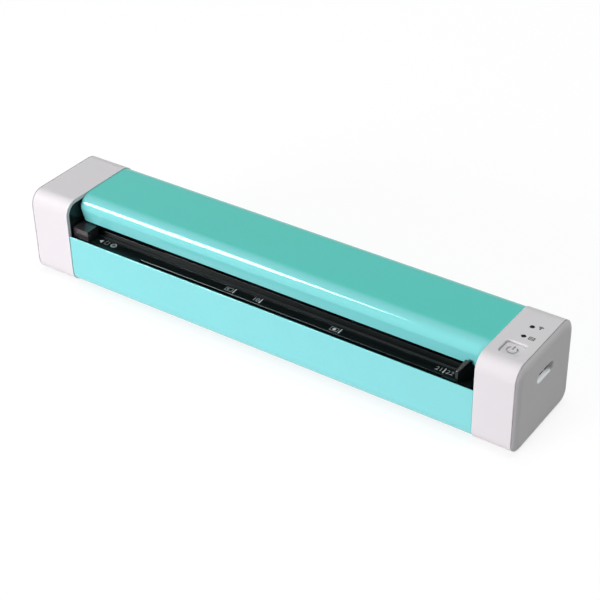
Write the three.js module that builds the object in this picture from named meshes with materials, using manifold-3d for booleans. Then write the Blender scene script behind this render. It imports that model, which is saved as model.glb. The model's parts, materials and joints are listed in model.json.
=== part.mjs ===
// Portable sheetfed scanner, in millimetres.
// X runs along the housing, +Y to its rear and +Z up.
// The origin is on the table, under the middle of the housing.
// Heights are measured from the underside of the end caps, and the whole scanner stands on its feet.
import * as THREE from 'three';
import { mergeVertices } from 'three/addons/utils/BufferGeometryUtils.js';
import Module from 'manifold-3d';

const wasm = await Module();
wasm.setup();

// Housing
const LENGTH = 292.7;
const DEPTH = 55.3;
const HEIGHT = 48.9;
const LEFT_CAP_LENGTH = 26.1;
const RIGHT_CAP_LENGTH = 22.5;
const FRONT_TOP_RADIUS = 8;
const REAR_TOP_RADIUS = 9.1;
const REAR_BOTTOM_RADIUS = 7.1;
const FRONT_BOTTOM_RADIUS = 7.8;
const CAP_WALL = 2;
const END_ROUND_RADIUS = 5.8;
const END_ROUND_START = 30;
const COVER_INSET = 0.4;

// Clearances: between pieces that touch, and past a face when a tool cuts through it
const GAP = 0.3;
const OVERRUN = 1;

// Lower cover, its screw bosses, and the feet
const LOWER_WALL = 2.4;
const RIM_RISE = 1.4;
const RIM_WALL = 0.8;
const RIM_EDGE_RADIUS = 0.5;
const FOOT_STAND = 0.8;
const FOOT_RADIUS = 4.5;
const FOOT_CHAMFER = 0.3;
const FOOT_RECESS_DEPTH = 1;
const BOSS_RADIUS = 4;
const BOSS_SHARE = 0.5;
const BOSS_END_INSET = 19;
const BOSS_SIDE_INSET = 10.5;
const SCREW_HEAD_RADIUS = 2.4;
const SCREW_HEAD_HEIGHT = 1.6;
const SCREW_RADIUS = 1.2;
const SCREW_REACH_SHARE = 0.5;
const SCREW_HEAD_DEPTH = 0.5;
const SCREW_SLOT_WIDTH = 0.6;
const SCREW_SLOT_DEPTH = 0.7;

// Top cover: a lip that stands back from the front plane and leans in towards its lower edge
const COVER_WALL = 1.8;
const LIP_SETBACK = 9;
const LIP_TOP_RADIUS = 6;
const LIP_LEAN_ANGLE = 14;
const LIP_RISE = 3.5;
const SKIRT_RISE = 2.5;
const LIP_END_RADIUS = 3;
const GUIDE_POST_RADIUS = 2.5;
const GUIDE_POST_END_INSET = 20;

// Hinge of the top cover, and its pins
const HINGE_PIN_RADIUS = 1.5;
const HINGE_PIN_REACH = 3;

// Feed tray: a shelf, a step up to the bed, and the slot that the sliding guide runs in
const TRAY_WALL = 1.8;
const SHELF_DROP = 3;
const SHELF_REAR = 11.3;
const BED_DROP = 0.5;
const BED_STEP_RUN = 1;
const GUIDE_SLOT_WIDTH = 2.1;
const GUIDE_SLOT_START = 44.5;
const BED_RIB_START = 53.5;
const BED_RIB_WIDTH = 1.2;
const BED_RIB_HEIGHT = 0.5;
const BED_RIB_SETBACK = 2;

// Fixed guide at the left end and sliding guide at the right
const FIXED_GUIDE_WIDTH = 10.1;
const FIXED_GUIDE_HEIGHT = 6.2;
const FIXED_GUIDE_TAIL = 1.7;
const SLIDING_GUIDE_INSET = 10.9;
const SLIDING_GUIDE_HEIGHT = 10.4;
const FIN_FRONT_WIDTH = 1.4;
const FIN_REAR_WIDTH = 3.4;
const FIN_REAR_SHIFT = 3;
const FIN_FRONT_HEIGHT = 7.2;
const FIN_NOSE_RADIUS = 1.2;
const FIN_TOP_RADIUS = 1;
const FIN_TAIL = 1.5;
const SLIDER_LENGTH = 15;
const SLIDER_LEAD = 7.1;
const SLIDER_HOOK_DEPTH = 4;
const SLIDER_HOOK_WALL = 1.5;

// Paper drive: two driven shafts below the paper and two pinch shafts above it
const PAPER_HEIGHT_SHARE = 0.634;
const FEED_AXIS_SHARE = 0.2376;
const EXIT_AXIS_SHARE = 0.7343;
const SHAFT_RADIUS = 2;
const ROLLER_RADIUS = 5;
const ROLLER_LENGTH = 34;
const ROLLER_SPACING = 62;
const ROLLER_COUNT = 3;
const PINCH_RADIUS = 3;
const PINCH_LENGTH = 20;
const PINCH_SHAFT_RADIUS = 1.3;
const PINCH_LIFT = 1.2;
const PINCH_SPRING_WIDTH = 6;
const PINCH_SPRING_THICKNESS = 0.5;
const PINCH_SPRING_RISE = 1.8;

// Gears of the drive, with the pinion on the motor
const GEAR_MODULE = 0.5;
const GEAR_WIDTH = 2.8;
const GEAR_BACKLASH = 0.2;
const GEAR_SPACE = 0.5;
const IDLER_TEETH = 16;
const COMPOUND_SMALL_TEETH = 16;
const COMPOUND_LARGE_TEETH = 34;
const PINION_TEETH = 10;
const GEAR_PIN_RADIUS = 1.5;
const ADDENDUM_SHARE = 0.85;
const DEDENDUM_SHARE = 1.2;
const PRESSURE_ANGLE = 20;
const COMPOUND_ANGLE = -124;
const MOTOR_ANGLE = -5;
const MOTOR_RADIUS = 8;
const MOTOR_LENGTH = 12.5;
const MOTOR_SHAFT_RADIUS = 1;
const BRACKET_WALL = 1.2;
const BRACKET_MARGIN = 2.5;
const BRACKET_LEG = 3;

// Frame: side plates in the mouths of the end caps, and the chassis between them
const PLATE_WALL = 2.5;
const PLATE_WINDOW_FRONT = 20;
const PLATE_WINDOW_REAR = 31;
const PLATE_WINDOW_LOW = 7.5;
const PLATE_WINDOW_HIGH = 12.5;
const BOARD_LEDGE_PLACES = [10, 34];
const BOARD_LEDGE_WIDTH = 3;
const BOARD_LEDGE_LENGTH = 12;
const CHASSIS_WALL = 1.8;
const CHASSIS_RIB = 1.5;
const CHASSIS_SIDE_MARGIN = 2.5;

// Image sensor, its glass and the white plate above it
const SENSOR_SIDE_SPACE = 2.1;
const SENSOR_HEIGHT = 9;
const SENSOR_END_INSET = 11;
const SENSOR_STAND = 1.8;
const GLASS_THICKNESS = 1;
const GLASS_INSET = 0.5;
const BACKING_THICKNESS = 1.2;

// Upper guide, carried by the top cover
const PAPER_SPACE = 1;
const UPPER_GUIDE_WALL = 1.6;
const UPPER_GUIDE_TAIL = 4.5;
const UPPER_GUIDE_LEAD_RISE = 1.6;
const UPPER_GUIDE_LEAD_RUN = 2.5;
const UPPER_GUIDE_END_WALL = 2;

// Exit guide, bent down behind the exit rollers
const EXIT_GUIDE_FLAT = 3;
const EXIT_GUIDE_FALL_RUN = 3;
const EXIT_GUIDE_FALL = 2.2;

// Electronics
const BOARD_WALL = 1.2;
const SIDE_BOARD_FRONT = 8;
const SIDE_BOARD_REAR = 39;
const MAIN_BOARD_LENGTH_SHARE = 0.41;
const MAIN_BOARD_WIDTH = 36;
const MAIN_BOARD_HEIGHT_SHARE = 0.3;
const BOARD_POST_RADIUS = 1.8;
const BATTERY_LENGTH_SHARE = 0.5;
const BATTERY_WIDTH = 34;
const BATTERY_HEADROOM = 3;
const BATTERY_CORNER = 2;
const CHIP_HEIGHT = 1.6;
const CHIP_SIZE = 12;
const PORT_HEIGHT_SHARE = 0.675;
const PORT_OPENING_LENGTH = 16.1;
const PORT_OPENING_HEIGHT = 5.6;
const PORT_DEPTH_PLACE = 26.85;
const PORT_COLLAR_DEPTH = 1.2;
const PORT_COLLAR_WALL = 1.2;
const PORT_BAR_WIDTH = 1.2;
const PORT_BAR_PLACE = 29.6;
const SOCKET_DEPTH_PLACE = 24.2;
const SOCKET_WIDTH = 8;
const SOCKET_HEIGHT = 3;
const SOCKET_LENGTH = 5.5;
const SOCKET_WALL = 0.4;
const SOCKET_SETBACK = 5.1;
const SWITCH_SIZE = 6;
const SWITCH_HEIGHT = 3.5;
const PLUNGER_RADIUS = 1.6;
const PLUNGER_HEIGHT = 1.5;

// Power button and the two light pipes beside it
const BUTTON_SIZE = 10.2;
const BUTTON_CORNER = 1.6;
const BUTTON_END_INSET = 12;
const BUTTON_DEPTH_PLACE = 15.5;
const BUTTON_SINK = 1;
const BUTTON_PLATE = 0.8;
const BUTTON_TRAVEL = 0.6;
const BUTTON_FLANGE = 1;
const BUTTON_STEM_RADIUS = 2;
const LIGHT_PIPE_RADIUS = 1.2;
const LIGHT_PIPE_SINK = 0.6;
const LIGHT_PIPE_PLACES = [26.6, 35.2];
const LIGHT_PIPE_END_INSET = 12.2;
const LAMP_HEIGHT = 2;

// Lever that feels the paper
const LEVER_SETBACK = 4.7;
const LEVER_PIVOT_DROP = 7;
const LEVER_WIDTH = 1.8;
const LEVER_THICKNESS = 1.4;
const LEVER_PIN_RADIUS = 1;
const LEVER_PIN_LENGTH = 6;
const LEVER_FLAG = 3.5;
const LEVER_EAR_WIDTH = 1.2;
const LEVER_EAR_RADIUS = 2;

// Facets of round forms
const CORNER_STEPS = 7;
const SMALL_CORNER_STEPS = 3;
const ROUND_STEPS = 20;
const SMALL_ROUND_STEPS = 10;

// Grid that every corner is set on, so that faces meant to lie in one plane do
const GRID = 0.001;

// Places worked out from the sizes above
const LEFT_SEAM = LEFT_CAP_LENGTH - LENGTH / 2;
const RIGHT_SEAM = LENGTH / 2 - RIGHT_CAP_LENGTH;
const BODY_LEFT = LEFT_SEAM + GAP;
const BODY_RIGHT = RIGHT_SEAM - GAP;
const BODY_MIDDLE = (BODY_LEFT + BODY_RIGHT) / 2;
const LEFT_PLATE_FACE = LEFT_SEAM - GAP;
const RIGHT_PLATE_FACE = RIGHT_SEAM + GAP;
const LEFT_PLATE_BACK = LEFT_PLATE_FACE - PLATE_WALL;
const RIGHT_PLATE_BACK = RIGHT_PLATE_FACE + PLATE_WALL;
const COVER_TOP = HEIGHT - COVER_INSET;
const COVER_CEILING = COVER_TOP - COVER_WALL;
const PAPER_HEIGHT = HEIGHT * PAPER_HEIGHT_SHARE;
const SHELF_HEIGHT = PAPER_HEIGHT - SHELF_DROP;
const BED_HEIGHT = PAPER_HEIGHT - BED_DROP;
const LIP_EDGE_HEIGHT = PAPER_HEIGHT + LIP_RISE;
const SKIRT_EDGE_HEIGHT = PAPER_HEIGHT + SKIRT_RISE;
const LOWER_INSET = COVER_INSET + LOWER_WALL;
const TRAY_FRONT = LOWER_INSET + GAP;
const ROLLER_AXIS_HEIGHT = PAPER_HEIGHT - ROLLER_RADIUS;
const PINCH_AXIS_HEIGHT = PAPER_HEIGHT + GAP + PINCH_RADIUS;
const FEED_AXIS_DEPTH = LIP_SETBACK + (DEPTH - LIP_SETBACK) * FEED_AXIS_SHARE;
const EXIT_AXIS_DEPTH = LIP_SETBACK + (DEPTH - LIP_SETBACK) * EXIT_AXIS_SHARE;
const SENSOR_FRONT = FEED_AXIS_DEPTH + ROLLER_RADIUS + SENSOR_SIDE_SPACE;
const SENSOR_REAR = EXIT_AXIS_DEPTH - ROLLER_RADIUS - SENSOR_SIDE_SPACE;
const HINGE_DEPTH = DEPTH - REAR_TOP_RADIUS;
const HINGE_HEIGHT = HEIGHT - REAR_TOP_RADIUS;
const GUIDE_SLOT_REAR = TRAY_FRONT + GUIDE_SLOT_WIDTH;
const COVER_INNER_LEFT = BODY_LEFT + COVER_WALL;
const COVER_INNER_RIGHT = BODY_RIGHT - COVER_WALL;
const UPPER_GUIDE_LEFT = COVER_INNER_LEFT + GAP;
const UPPER_GUIDE_RIGHT = COVER_INNER_RIGHT - GAP;
const UPPER_GUIDE_HEIGHT = PAPER_HEIGHT + PAPER_SPACE;
const UPPER_GUIDE_TOP = UPPER_GUIDE_HEIGHT + UPPER_GUIDE_WALL;
const GLASS_TOP = PAPER_HEIGHT - GAP;
const SENSOR_TOP = GLASS_TOP - GLASS_THICKNESS - GAP;
const CHASSIS_TOP = SENSOR_TOP - SENSOR_HEIGHT - SENSOR_STAND;
const CHASSIS_FLOOR_HEIGHT = CHASSIS_TOP - CHASSIS_WALL;
const BOSS_TOP = LOWER_INSET + (CHASSIS_FLOOR_HEIGHT - LOWER_INSET) * BOSS_SHARE;
const SCREW_TOP = BOSS_TOP + (CHASSIS_FLOOR_HEIGHT - BOSS_TOP) * SCREW_REACH_SHARE;
const LOWER_SPACE_START = BODY_LEFT + BOSS_END_INSET + 2 * BOSS_RADIUS;
const LOWER_SPACE_END = BODY_RIGHT - BOSS_END_INSET - 2 * BOSS_RADIUS;
const MAIN_BOARD_START = LOWER_SPACE_END - (LOWER_SPACE_END - LOWER_SPACE_START) * MAIN_BOARD_LENGTH_SHARE;
const MAIN_BOARD_HEIGHT = LOWER_INSET + (CHASSIS_FLOOR_HEIGHT - LOWER_INSET) * MAIN_BOARD_HEIGHT_SHARE;
const PORT_HEIGHT = HEIGHT * PORT_HEIGHT_SHARE;
const SIDE_BOARD_TOP = PORT_HEIGHT - SOCKET_HEIGHT / 2 - GAP;
const BUTTON_X = LENGTH / 2 - BUTTON_END_INSET;
const SENSOR_LEFT = BODY_LEFT + SENSOR_END_INSET;
const SENSOR_RIGHT = BODY_RIGHT - SENSOR_END_INSET;

// A distance behind the front plane, as a place along Y
const behindFront = (distance) => distance - DEPTH / 2;

const MATERIALS = {
  turquoise: material(0x62bdb2, 0.3, 0),
  white: material(0xe6e2e4, 0.45, 0),
  black: material(0x1b1c1d, 0.55, 0),
  rubber: material(0x2b2b2c, 0.85, 0),
  grey: material(0x6f7376, 0.6, 0),
  steel: material(0xb9bcc0, 0.3, 1),
  gear: material(0xe9e6dc, 0.5, 0),
  board: material(0x1f6b45, 0.5, 0),
  battery: material(0x3a4a7a, 0.6, 0),
  glass: material(0xbfd4d8, 0.08, 0),
  backing: material(0xf4f4f2, 0.5, 0),
  lens: material(0x0c0d10, 0.2, 0),
};

function material(color, roughness, metalness) {
  return new THREE.MeshStandardMaterial({ color, roughness, metalness });
}

// Points of an arc in the plane of an outline, its angles in degrees
function arc(u, v, radius, from, to, steps = CORNER_STEPS) {
  const points = [];
  for (let i = 0; i <= steps; i++) {
    const angle = THREE.MathUtils.degToRad(from + ((to - from) * i) / steps);
    points.push([u + radius * Math.cos(angle), v + radius * Math.sin(angle)]);
  }
  return points;
}

// A solid from a closed three.js geometry, with its corners set on the grid
function solidOf(geometry) {
  geometry.deleteAttribute('normal');
  geometry.deleteAttribute('uv');
  const merged = mergeVertices(geometry);
  const onGrid = (value) => Math.round(value / GRID) * GRID;
  const vertProperties = Float32Array.from(merged.attributes.position.array, onGrid);
  const triVerts = Uint32Array.from(merged.index.array);
  return new wasm.Manifold(new wasm.Mesh({ numProp: 3, vertProperties, triVerts }));
}

const fuse = (...solids) => solids.reduce((whole, solid) => whole.add(solid));
const cut = (whole, ...tools) => tools.reduce((rest, tool) => rest.subtract(tool), whole);

function extrusion(outline, depth) {
  const shape = new THREE.Shape(outline.map(([u, v]) => new THREE.Vector2(u, v)));
  return new THREE.ExtrudeGeometry(shape, { depth, bevelEnabled: false });
}

// An outline in the Y-Z plane, drawn out along X
function prismX(outline, x0, x1) {
  const geometry = extrusion(outline, x1 - x0);
  const turn = new THREE.Matrix4();
  turn.makeBasis(new THREE.Vector3(0, 1, 0), new THREE.Vector3(0, 0, 1), new THREE.Vector3(1, 0, 0));
  geometry.applyMatrix4(turn);
  geometry.translate(x0, 0, 0);
  return solidOf(geometry);
}

// An outline in the X-Y plane, drawn up along Z
function prismZ(outline, z0, z1) {
  const geometry = extrusion(outline, z1 - z0);
  geometry.translate(0, 0, z0);
  return solidOf(geometry);
}

function block([x0, x1], [y0, y1], [z0, z1]) {
  const geometry = new THREE.BoxGeometry(x1 - x0, y1 - y0, z1 - z0);
  geometry.translate((x0 + x1) / 2, (y0 + y1) / 2, (z0 + z1) / 2);
  return solidOf(geometry);
}

// A rod along X, or along Z
function rodX(radius, x0, x1, y, z, steps = SMALL_ROUND_STEPS) {
  const geometry = new THREE.CylinderGeometry(radius, radius, x1 - x0, steps);
  geometry.rotateZ(-Math.PI / 2);
  geometry.translate((x0 + x1) / 2, y, z);
  return solidOf(geometry);
}

function rodZ(radius, x, y, z0, z1, steps = SMALL_ROUND_STEPS) {
  const geometry = new THREE.CylinderGeometry(radius, radius, z1 - z0, steps);
  geometry.rotateX(Math.PI / 2);
  geometry.translate(x, y, (z0 + z1) / 2);
  return solidOf(geometry);
}

// A skin over outlines of equal count, each standing at its own x, with both ends closed
function loft(rings) {
  const positions = [];
  const index = [];
  const count = rings[0].outline.length;
  for (const { x, outline } of rings) {
    for (const [y, z] of outline) positions.push(x, y, z);
  }
  for (let ring = 0; ring < rings.length - 1; ring++) {
    for (let i = 0; i < count; i++) {
      const a = ring * count + i;
      const b = ring * count + ((i + 1) % count);
      index.push(a, b, b + count, a, b + count, a + count);
    }
  }
  const last = (rings.length - 1) * count;
  for (let i = 1; i < count - 1; i++) {
    index.push(0, i + 1, i, last, last + i, last + i + 1);
  }
  const geometry = new THREE.BufferGeometry();
  geometry.setAttribute('position', new THREE.Float32BufferAttribute(positions, 3));
  geometry.setIndex(index);
  return solidOf(geometry);
}

function meshOf(name, solid, finish) {
  const { vertProperties, triVerts } = solid.getMesh();
  const geometry = new THREE.BufferGeometry();
  geometry.setAttribute('position', new THREE.Float32BufferAttribute(vertProperties, 3));
  geometry.setIndex(new THREE.Uint32BufferAttribute(triVerts, 1));
  geometry.computeVertexNormals();
  const mesh = new THREE.Mesh(geometry, finish);
  mesh.name = name;
  return mesh;
}

function placed(mesh, x, y, z) {
  mesh.position.set(x, y, z);
  return mesh;
}

// Section of the whole housing, drawn in by an inset
function housingOutline(inset) {
  const [front, rear] = [behindFront(inset), behindFront(DEPTH - inset)];
  const [low, high] = [inset, HEIGHT - inset];
  const radii = [FRONT_BOTTOM_RADIUS, REAR_BOTTOM_RADIUS, REAR_TOP_RADIUS, FRONT_TOP_RADIUS];
  const [frontLow, rearLow, rearHigh, frontHigh] = radii.map((radius) => radius - inset);
  return [
    ...arc(front + frontLow, low + frontLow, frontLow, 180, 270),
    ...arc(rear - rearLow, low + rearLow, rearLow, 270, 360),
    ...arc(rear - rearHigh, high - rearHigh, rearHigh, 0, 90),
    ...arc(front + frontHigh, high - frontHigh, frontHigh, 90, 180),
  ];
}

// Rounded end of a cap: an arc that starts from a crisp edge and turns into the flat end
function cappedSolid(inset, seam, end) {
  const side = Math.sign(end - seam);
  const start = THREE.MathUtils.degToRad(END_ROUND_START);
  const rings = [{ x: seam, outline: housingOutline(inset) }];
  for (let i = 0; i <= CORNER_STEPS; i++) {
    const angle = start + ((Math.PI / 2 - start) * i) / CORNER_STEPS;
    const x = end - side * END_ROUND_RADIUS * (1 - Math.sin(angle));
    const drawn = END_ROUND_RADIUS * (Math.cos(start) - Math.cos(angle));
    rings.push({ x, outline: housingOutline(inset + drawn) });
  }
  return loft(side > 0 ? rings : rings.reverse());
}

function capShell(seam, end) {
  const side = Math.sign(end - seam);
  const hollow = cappedSolid(CAP_WALL, seam - side * OVERRUN, end - side * CAP_WALL);
  return cut(cappedSolid(0, seam, end), hollow);
}

function leftEndCap() {
  return meshOf('left_end_cap', capShell(LEFT_SEAM, -LENGTH / 2), MATERIALS.white);
}

// A square with rounded corners, centred on a place in the X-Y plane
function roundedSquare(x, y, size, corner) {
  const reach = size / 2 - corner;
  return [
    ...arc(x + reach, y + reach, corner, 0, 90, SMALL_CORNER_STEPS),
    ...arc(x - reach, y + reach, corner, 90, 180, SMALL_CORNER_STEPS),
    ...arc(x - reach, y - reach, corner, 180, 270, SMALL_CORNER_STEPS),
    ...arc(x + reach, y - reach, corner, 270, 360, SMALL_CORNER_STEPS),
  ];
}

// Long hole with round ends in the right end face, grown by a margin
function portOutline(margin) {
  const radius = PORT_OPENING_HEIGHT / 2 + margin;
  const reach = (PORT_OPENING_LENGTH - PORT_OPENING_HEIGHT) / 2;
  const y = behindFront(PORT_DEPTH_PLACE);
  return [
    ...arc(y + reach, PORT_HEIGHT, radius, -90, 90),
    ...arc(y - reach, PORT_HEIGHT, radius, 90, 270),
  ];
}

function rightEndCap() {
  const end = LENGTH / 2;
  const back = end - CAP_WALL - PORT_COLLAR_DEPTH;
  const collar = prismX(portOutline(PORT_COLLAR_WALL), back, end - CAP_WALL / 2);
  const opening = prismX(portOutline(0), back - OVERRUN, end + OVERRUN);
  const barY = behindFront(PORT_BAR_PLACE);
  const barReach = PORT_OPENING_HEIGHT / 2 + PORT_COLLAR_WALL / 2;
  const bar = block(
    [back, end - CAP_WALL / 2],
    [barY - PORT_BAR_WIDTH / 2, barY + PORT_BAR_WIDTH / 2],
    [PORT_HEIGHT - barReach, PORT_HEIGHT + barReach],
  );
  const [z0, z1] = [HEIGHT - CAP_WALL - OVERRUN, HEIGHT + OVERRUN];
  const buttonY = behindFront(BUTTON_DEPTH_PLACE);
  const buttonHole = prismZ(roundedSquare(BUTTON_X, buttonY, BUTTON_SIZE, BUTTON_CORNER), z0, z1);
  const pipeX = LENGTH / 2 - LIGHT_PIPE_END_INSET;
  const pipeHoles = LIGHT_PIPE_PLACES.map((place) => (
    rodZ(LIGHT_PIPE_RADIUS + GAP, pipeX, behindFront(place), z0, z1)
  ));
  const shell = fuse(cut(fuse(capShell(RIGHT_SEAM, end), collar), opening), bar);
  return meshOf('right_end_cap', cut(shell, buttonHole, ...pipeHoles), MATERIALS.white);
}

// The four places where a screw holds the lower cover to the chassis, each under a foot
function bossPlaces() {
  const places = [];
  for (const x of [BODY_LEFT + BOSS_END_INSET, BODY_RIGHT - BOSS_END_INSET]) {
    for (const y of [behindFront(BOSS_SIDE_INSET), behindFront(DEPTH - BOSS_SIDE_INSET)]) {
      places.push([x, y]);
    }
  }
  return places;
}

const FOOT_SEAT = COVER_INSET + FOOT_RECESS_DEPTH;
const SCREW_HEAD_LOW = FOOT_SEAT + SCREW_HEAD_DEPTH;
const SCREW_HEAD_HIGH = SCREW_HEAD_LOW + SCREW_HEAD_HEIGHT;

// Section of the lower cover, with a thin rim along its front that stands up past the shelf
function lowerCoverOutline() {
  const [front, rear] = [behindFront(COVER_INSET), behindFront(DEPTH - COVER_INSET)];
  const frontRadius = FRONT_BOTTOM_RADIUS - COVER_INSET;
  const rearRadius = REAR_BOTTOM_RADIUS - COVER_INSET;
  const frontCentre = [front + frontRadius, COVER_INSET + frontRadius];
  const rearCentre = [rear - rearRadius, COVER_INSET + rearRadius];
  const edge = RIM_EDGE_RADIUS;
  const rimTop = SHELF_HEIGHT + RIM_RISE;
  return [
    ...arc(front + edge, rimTop - edge, edge, 90, 180, SMALL_CORNER_STEPS),
    ...arc(...frontCentre, frontRadius, 180, 270),
    ...arc(...rearCentre, rearRadius, 270, 360),
    [rear, SHELF_HEIGHT],
    [rear - LOWER_WALL, SHELF_HEIGHT],
    ...arc(...rearCentre, rearRadius - LOWER_WALL, 360, 270),
    ...arc(...frontCentre, frontRadius - LOWER_WALL, 270, 180),
    [front + LOWER_WALL, SHELF_HEIGHT],
    [front + RIM_WALL, SHELF_HEIGHT],
    [front + RIM_WALL, rimTop],
  ];
}

// Corners of the main board, drawn in to where its posts stand
function boardPlaces() {
  const places = [];
  const inset = 2 * BOARD_POST_RADIUS;
  const side = MAIN_BOARD_WIDTH / 2 - inset;
  for (const x of [MAIN_BOARD_START + inset, LOWER_SPACE_END - inset]) {
    for (const y of [-side, side]) {
      places.push([x, y]);
    }
  }
  return places;
}

function lowerCover() {
  let solid = prismX(lowerCoverOutline(), BODY_LEFT, BODY_RIGHT);
  for (const [x, y] of bossPlaces()) {
    const boss = rodZ(BOSS_RADIUS, x, y, LOWER_INSET - LOWER_WALL / 2, BOSS_TOP, ROUND_STEPS);
    const footSeat = rodZ(FOOT_RADIUS + GAP, x, y, COVER_INSET - OVERRUN, FOOT_SEAT, ROUND_STEPS);
    const headSeat = rodZ(SCREW_HEAD_RADIUS + GAP, x, y, 0, SCREW_HEAD_HIGH + GAP);
    const screwHole = rodZ(SCREW_RADIUS + GAP, x, y, 0, BOSS_TOP + OVERRUN);
    solid = cut(fuse(solid, boss), footSeat, headSeat, screwHole);
  }
  for (const [x, y] of boardPlaces()) {
    const post = rodZ(BOARD_POST_RADIUS, x, y, LOWER_INSET - LOWER_WALL / 2, MAIN_BOARD_HEIGHT - GAP);
    solid = fuse(solid, post);
  }
  return meshOf('lower_cover', solid, MATERIALS.turquoise);
}

function feet() {
  const top = FOOT_STAND + FOOT_SEAT - GAP;
  const profile = [
    [0, 0],
    [FOOT_RADIUS - FOOT_CHAMFER, 0],
    [FOOT_RADIUS, FOOT_CHAMFER],
    [FOOT_RADIUS, top],
    [0, top],
  ].map(([r, z]) => new THREE.Vector2(r, z));
  return bossPlaces().map(([x, y], i) => {
    const geometry = new THREE.LatheGeometry(profile, ROUND_STEPS);
    geometry.rotateX(Math.PI / 2);
    return placed(meshOf(`foot_${i + 1}`, solidOf(geometry), MATERIALS.rubber), x, y, -FOOT_STAND);
  });
}

function screws() {
  return bossPlaces().map(([x, y], i) => {
    const head = rodZ(SCREW_HEAD_RADIUS, 0, 0, 0, SCREW_HEAD_HEIGHT);
    const shank = rodZ(SCREW_RADIUS, 0, 0, SCREW_HEAD_HEIGHT / 2, SCREW_TOP - SCREW_HEAD_LOW);
    const reach = SCREW_HEAD_RADIUS + OVERRUN;
    const slot = block(
      [-reach, reach],
      [-SCREW_SLOT_WIDTH / 2, SCREW_SLOT_WIDTH / 2],
      [-OVERRUN, SCREW_SLOT_DEPTH],
    );
    const solid = cut(fuse(head, shank), slot);
    return placed(meshOf(`chassis_screw_${i + 1}`, solid, MATERIALS.steel), x, y, SCREW_HEAD_LOW);
  });
}

// Outer face of the lip at a height below the round of its top, drawn in by a wall
function lipFace(height, wall = 0) {
  const lean = THREE.MathUtils.degToRad(LIP_LEAN_ANGLE);
  const radius = LIP_TOP_RADIUS - wall;
  const start = COVER_TOP - LIP_TOP_RADIUS - radius * Math.sin(lean);
  const y = behindFront(LIP_SETBACK + LIP_TOP_RADIUS) - radius * Math.cos(lean);
  return y + (start - height) * Math.tan(lean);
}

// Section of the top cover, drawn in by a wall and carried down past its lower edge
function coverOutline(wall, drop) {
  const rearRadius = REAR_TOP_RADIUS - COVER_INSET - wall;
  const lipRadius = LIP_TOP_RADIUS - wall;
  const lipEdge = LIP_EDGE_HEIGHT - drop;
  const lipCentre = [behindFront(LIP_SETBACK + LIP_TOP_RADIUS), COVER_TOP - LIP_TOP_RADIUS];
  return [
    [lipFace(lipEdge, wall), lipEdge],
    [behindFront(DEPTH - COVER_INSET - wall), SKIRT_EDGE_HEIGHT - drop],
    ...arc(behindFront(HINGE_DEPTH), HINGE_HEIGHT, rearRadius, 0, 90),
    ...arc(...lipCentre, lipRadius, 90, 180 + LIP_LEAN_ANGLE),
  ];
}

// Plan of the top cover with round front corners
function coverPlan(front) {
  const radius = LIP_END_RADIUS;
  const rear = behindFront(DEPTH + OVERRUN);
  return [
    ...arc(BODY_LEFT + radius, front + radius, radius, 180, 270, SMALL_CORNER_STEPS),
    ...arc(BODY_RIGHT - radius, front + radius, radius, 270, 360, SMALL_CORNER_STEPS),
    [BODY_RIGHT, rear],
    [BODY_LEFT, rear],
  ];
}

// Space that rounds the ends of the lip: upright above, and leaning with the lip's face below
function coverEnvelope() {
  const lean = THREE.MathUtils.degToRad(LIP_LEAN_ANGLE);
  const split = COVER_TOP - LIP_TOP_RADIUS - LIP_TOP_RADIUS * Math.sin(lean);
  const upper = prismZ(coverPlan(behindFront(LIP_SETBACK)), split, COVER_TOP + OVERRUN);
  const low = SKIRT_EDGE_HEIGHT - OVERRUN;
  const geometry = extrusion(coverPlan(lipFace(split)), split - low);
  geometry.translate(0, 0, low);
  geometry.applyMatrix4(new THREE.Matrix4().makeShear(0, 0, 0, 0, 0, -Math.tan(lean)));
  geometry.translate(0, split * Math.tan(lean), 0);
  return fuse(upper, solidOf(geometry));
}

function pinchSpringPlaces() {
  return [BODY_MIDDLE - ROLLER_SPACING / 2, BODY_MIDDLE + ROLLER_SPACING / 2];
}

const SPRING_FOOT = PINCH_AXIS_HEIGHT + PINCH_SHAFT_RADIUS + GAP;
const SPRING_MIDDLE = (FEED_AXIS_DEPTH + EXIT_AXIS_DEPTH) / 2;

function topCover() {
  const outer = prismX(coverOutline(0, 0), BODY_LEFT, BODY_RIGHT).intersect(coverEnvelope());
  const hollow = prismX(coverOutline(COVER_WALL, OVERRUN), COVER_INNER_LEFT, COVER_INNER_RIGHT);
  const [y, z] = [behindFront(HINGE_DEPTH), HINGE_HEIGHT];
  const hinge = rodX(HINGE_PIN_RADIUS + GAP, BODY_LEFT - OVERRUN, BODY_RIGHT + OVERRUN, y, z);
  let solid = cut(outer, hollow, hinge);
  const root = COVER_CEILING + COVER_WALL / 2;
  for (const x of [BODY_LEFT + GUIDE_POST_END_INSET, BODY_RIGHT - GUIDE_POST_END_INSET]) {
    for (const place of [SENSOR_FRONT, SENSOR_REAR]) {
      const low = UPPER_GUIDE_TOP + GAP;
      solid = fuse(solid, rodZ(GUIDE_POST_RADIUS, x, behindFront(place), low, root));
    }
  }
  const springTop = SPRING_FOOT + PINCH_SPRING_RISE + PINCH_SPRING_THICKNESS;
  for (const x of pinchSpringPlaces()) {
    const post = rodZ(GUIDE_POST_RADIUS, x, behindFront(SPRING_MIDDLE), springTop + GAP, root);
    solid = fuse(solid, post);
  }
  return meshOf('top_cover', solid, MATERIALS.turquoise);
}

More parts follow.
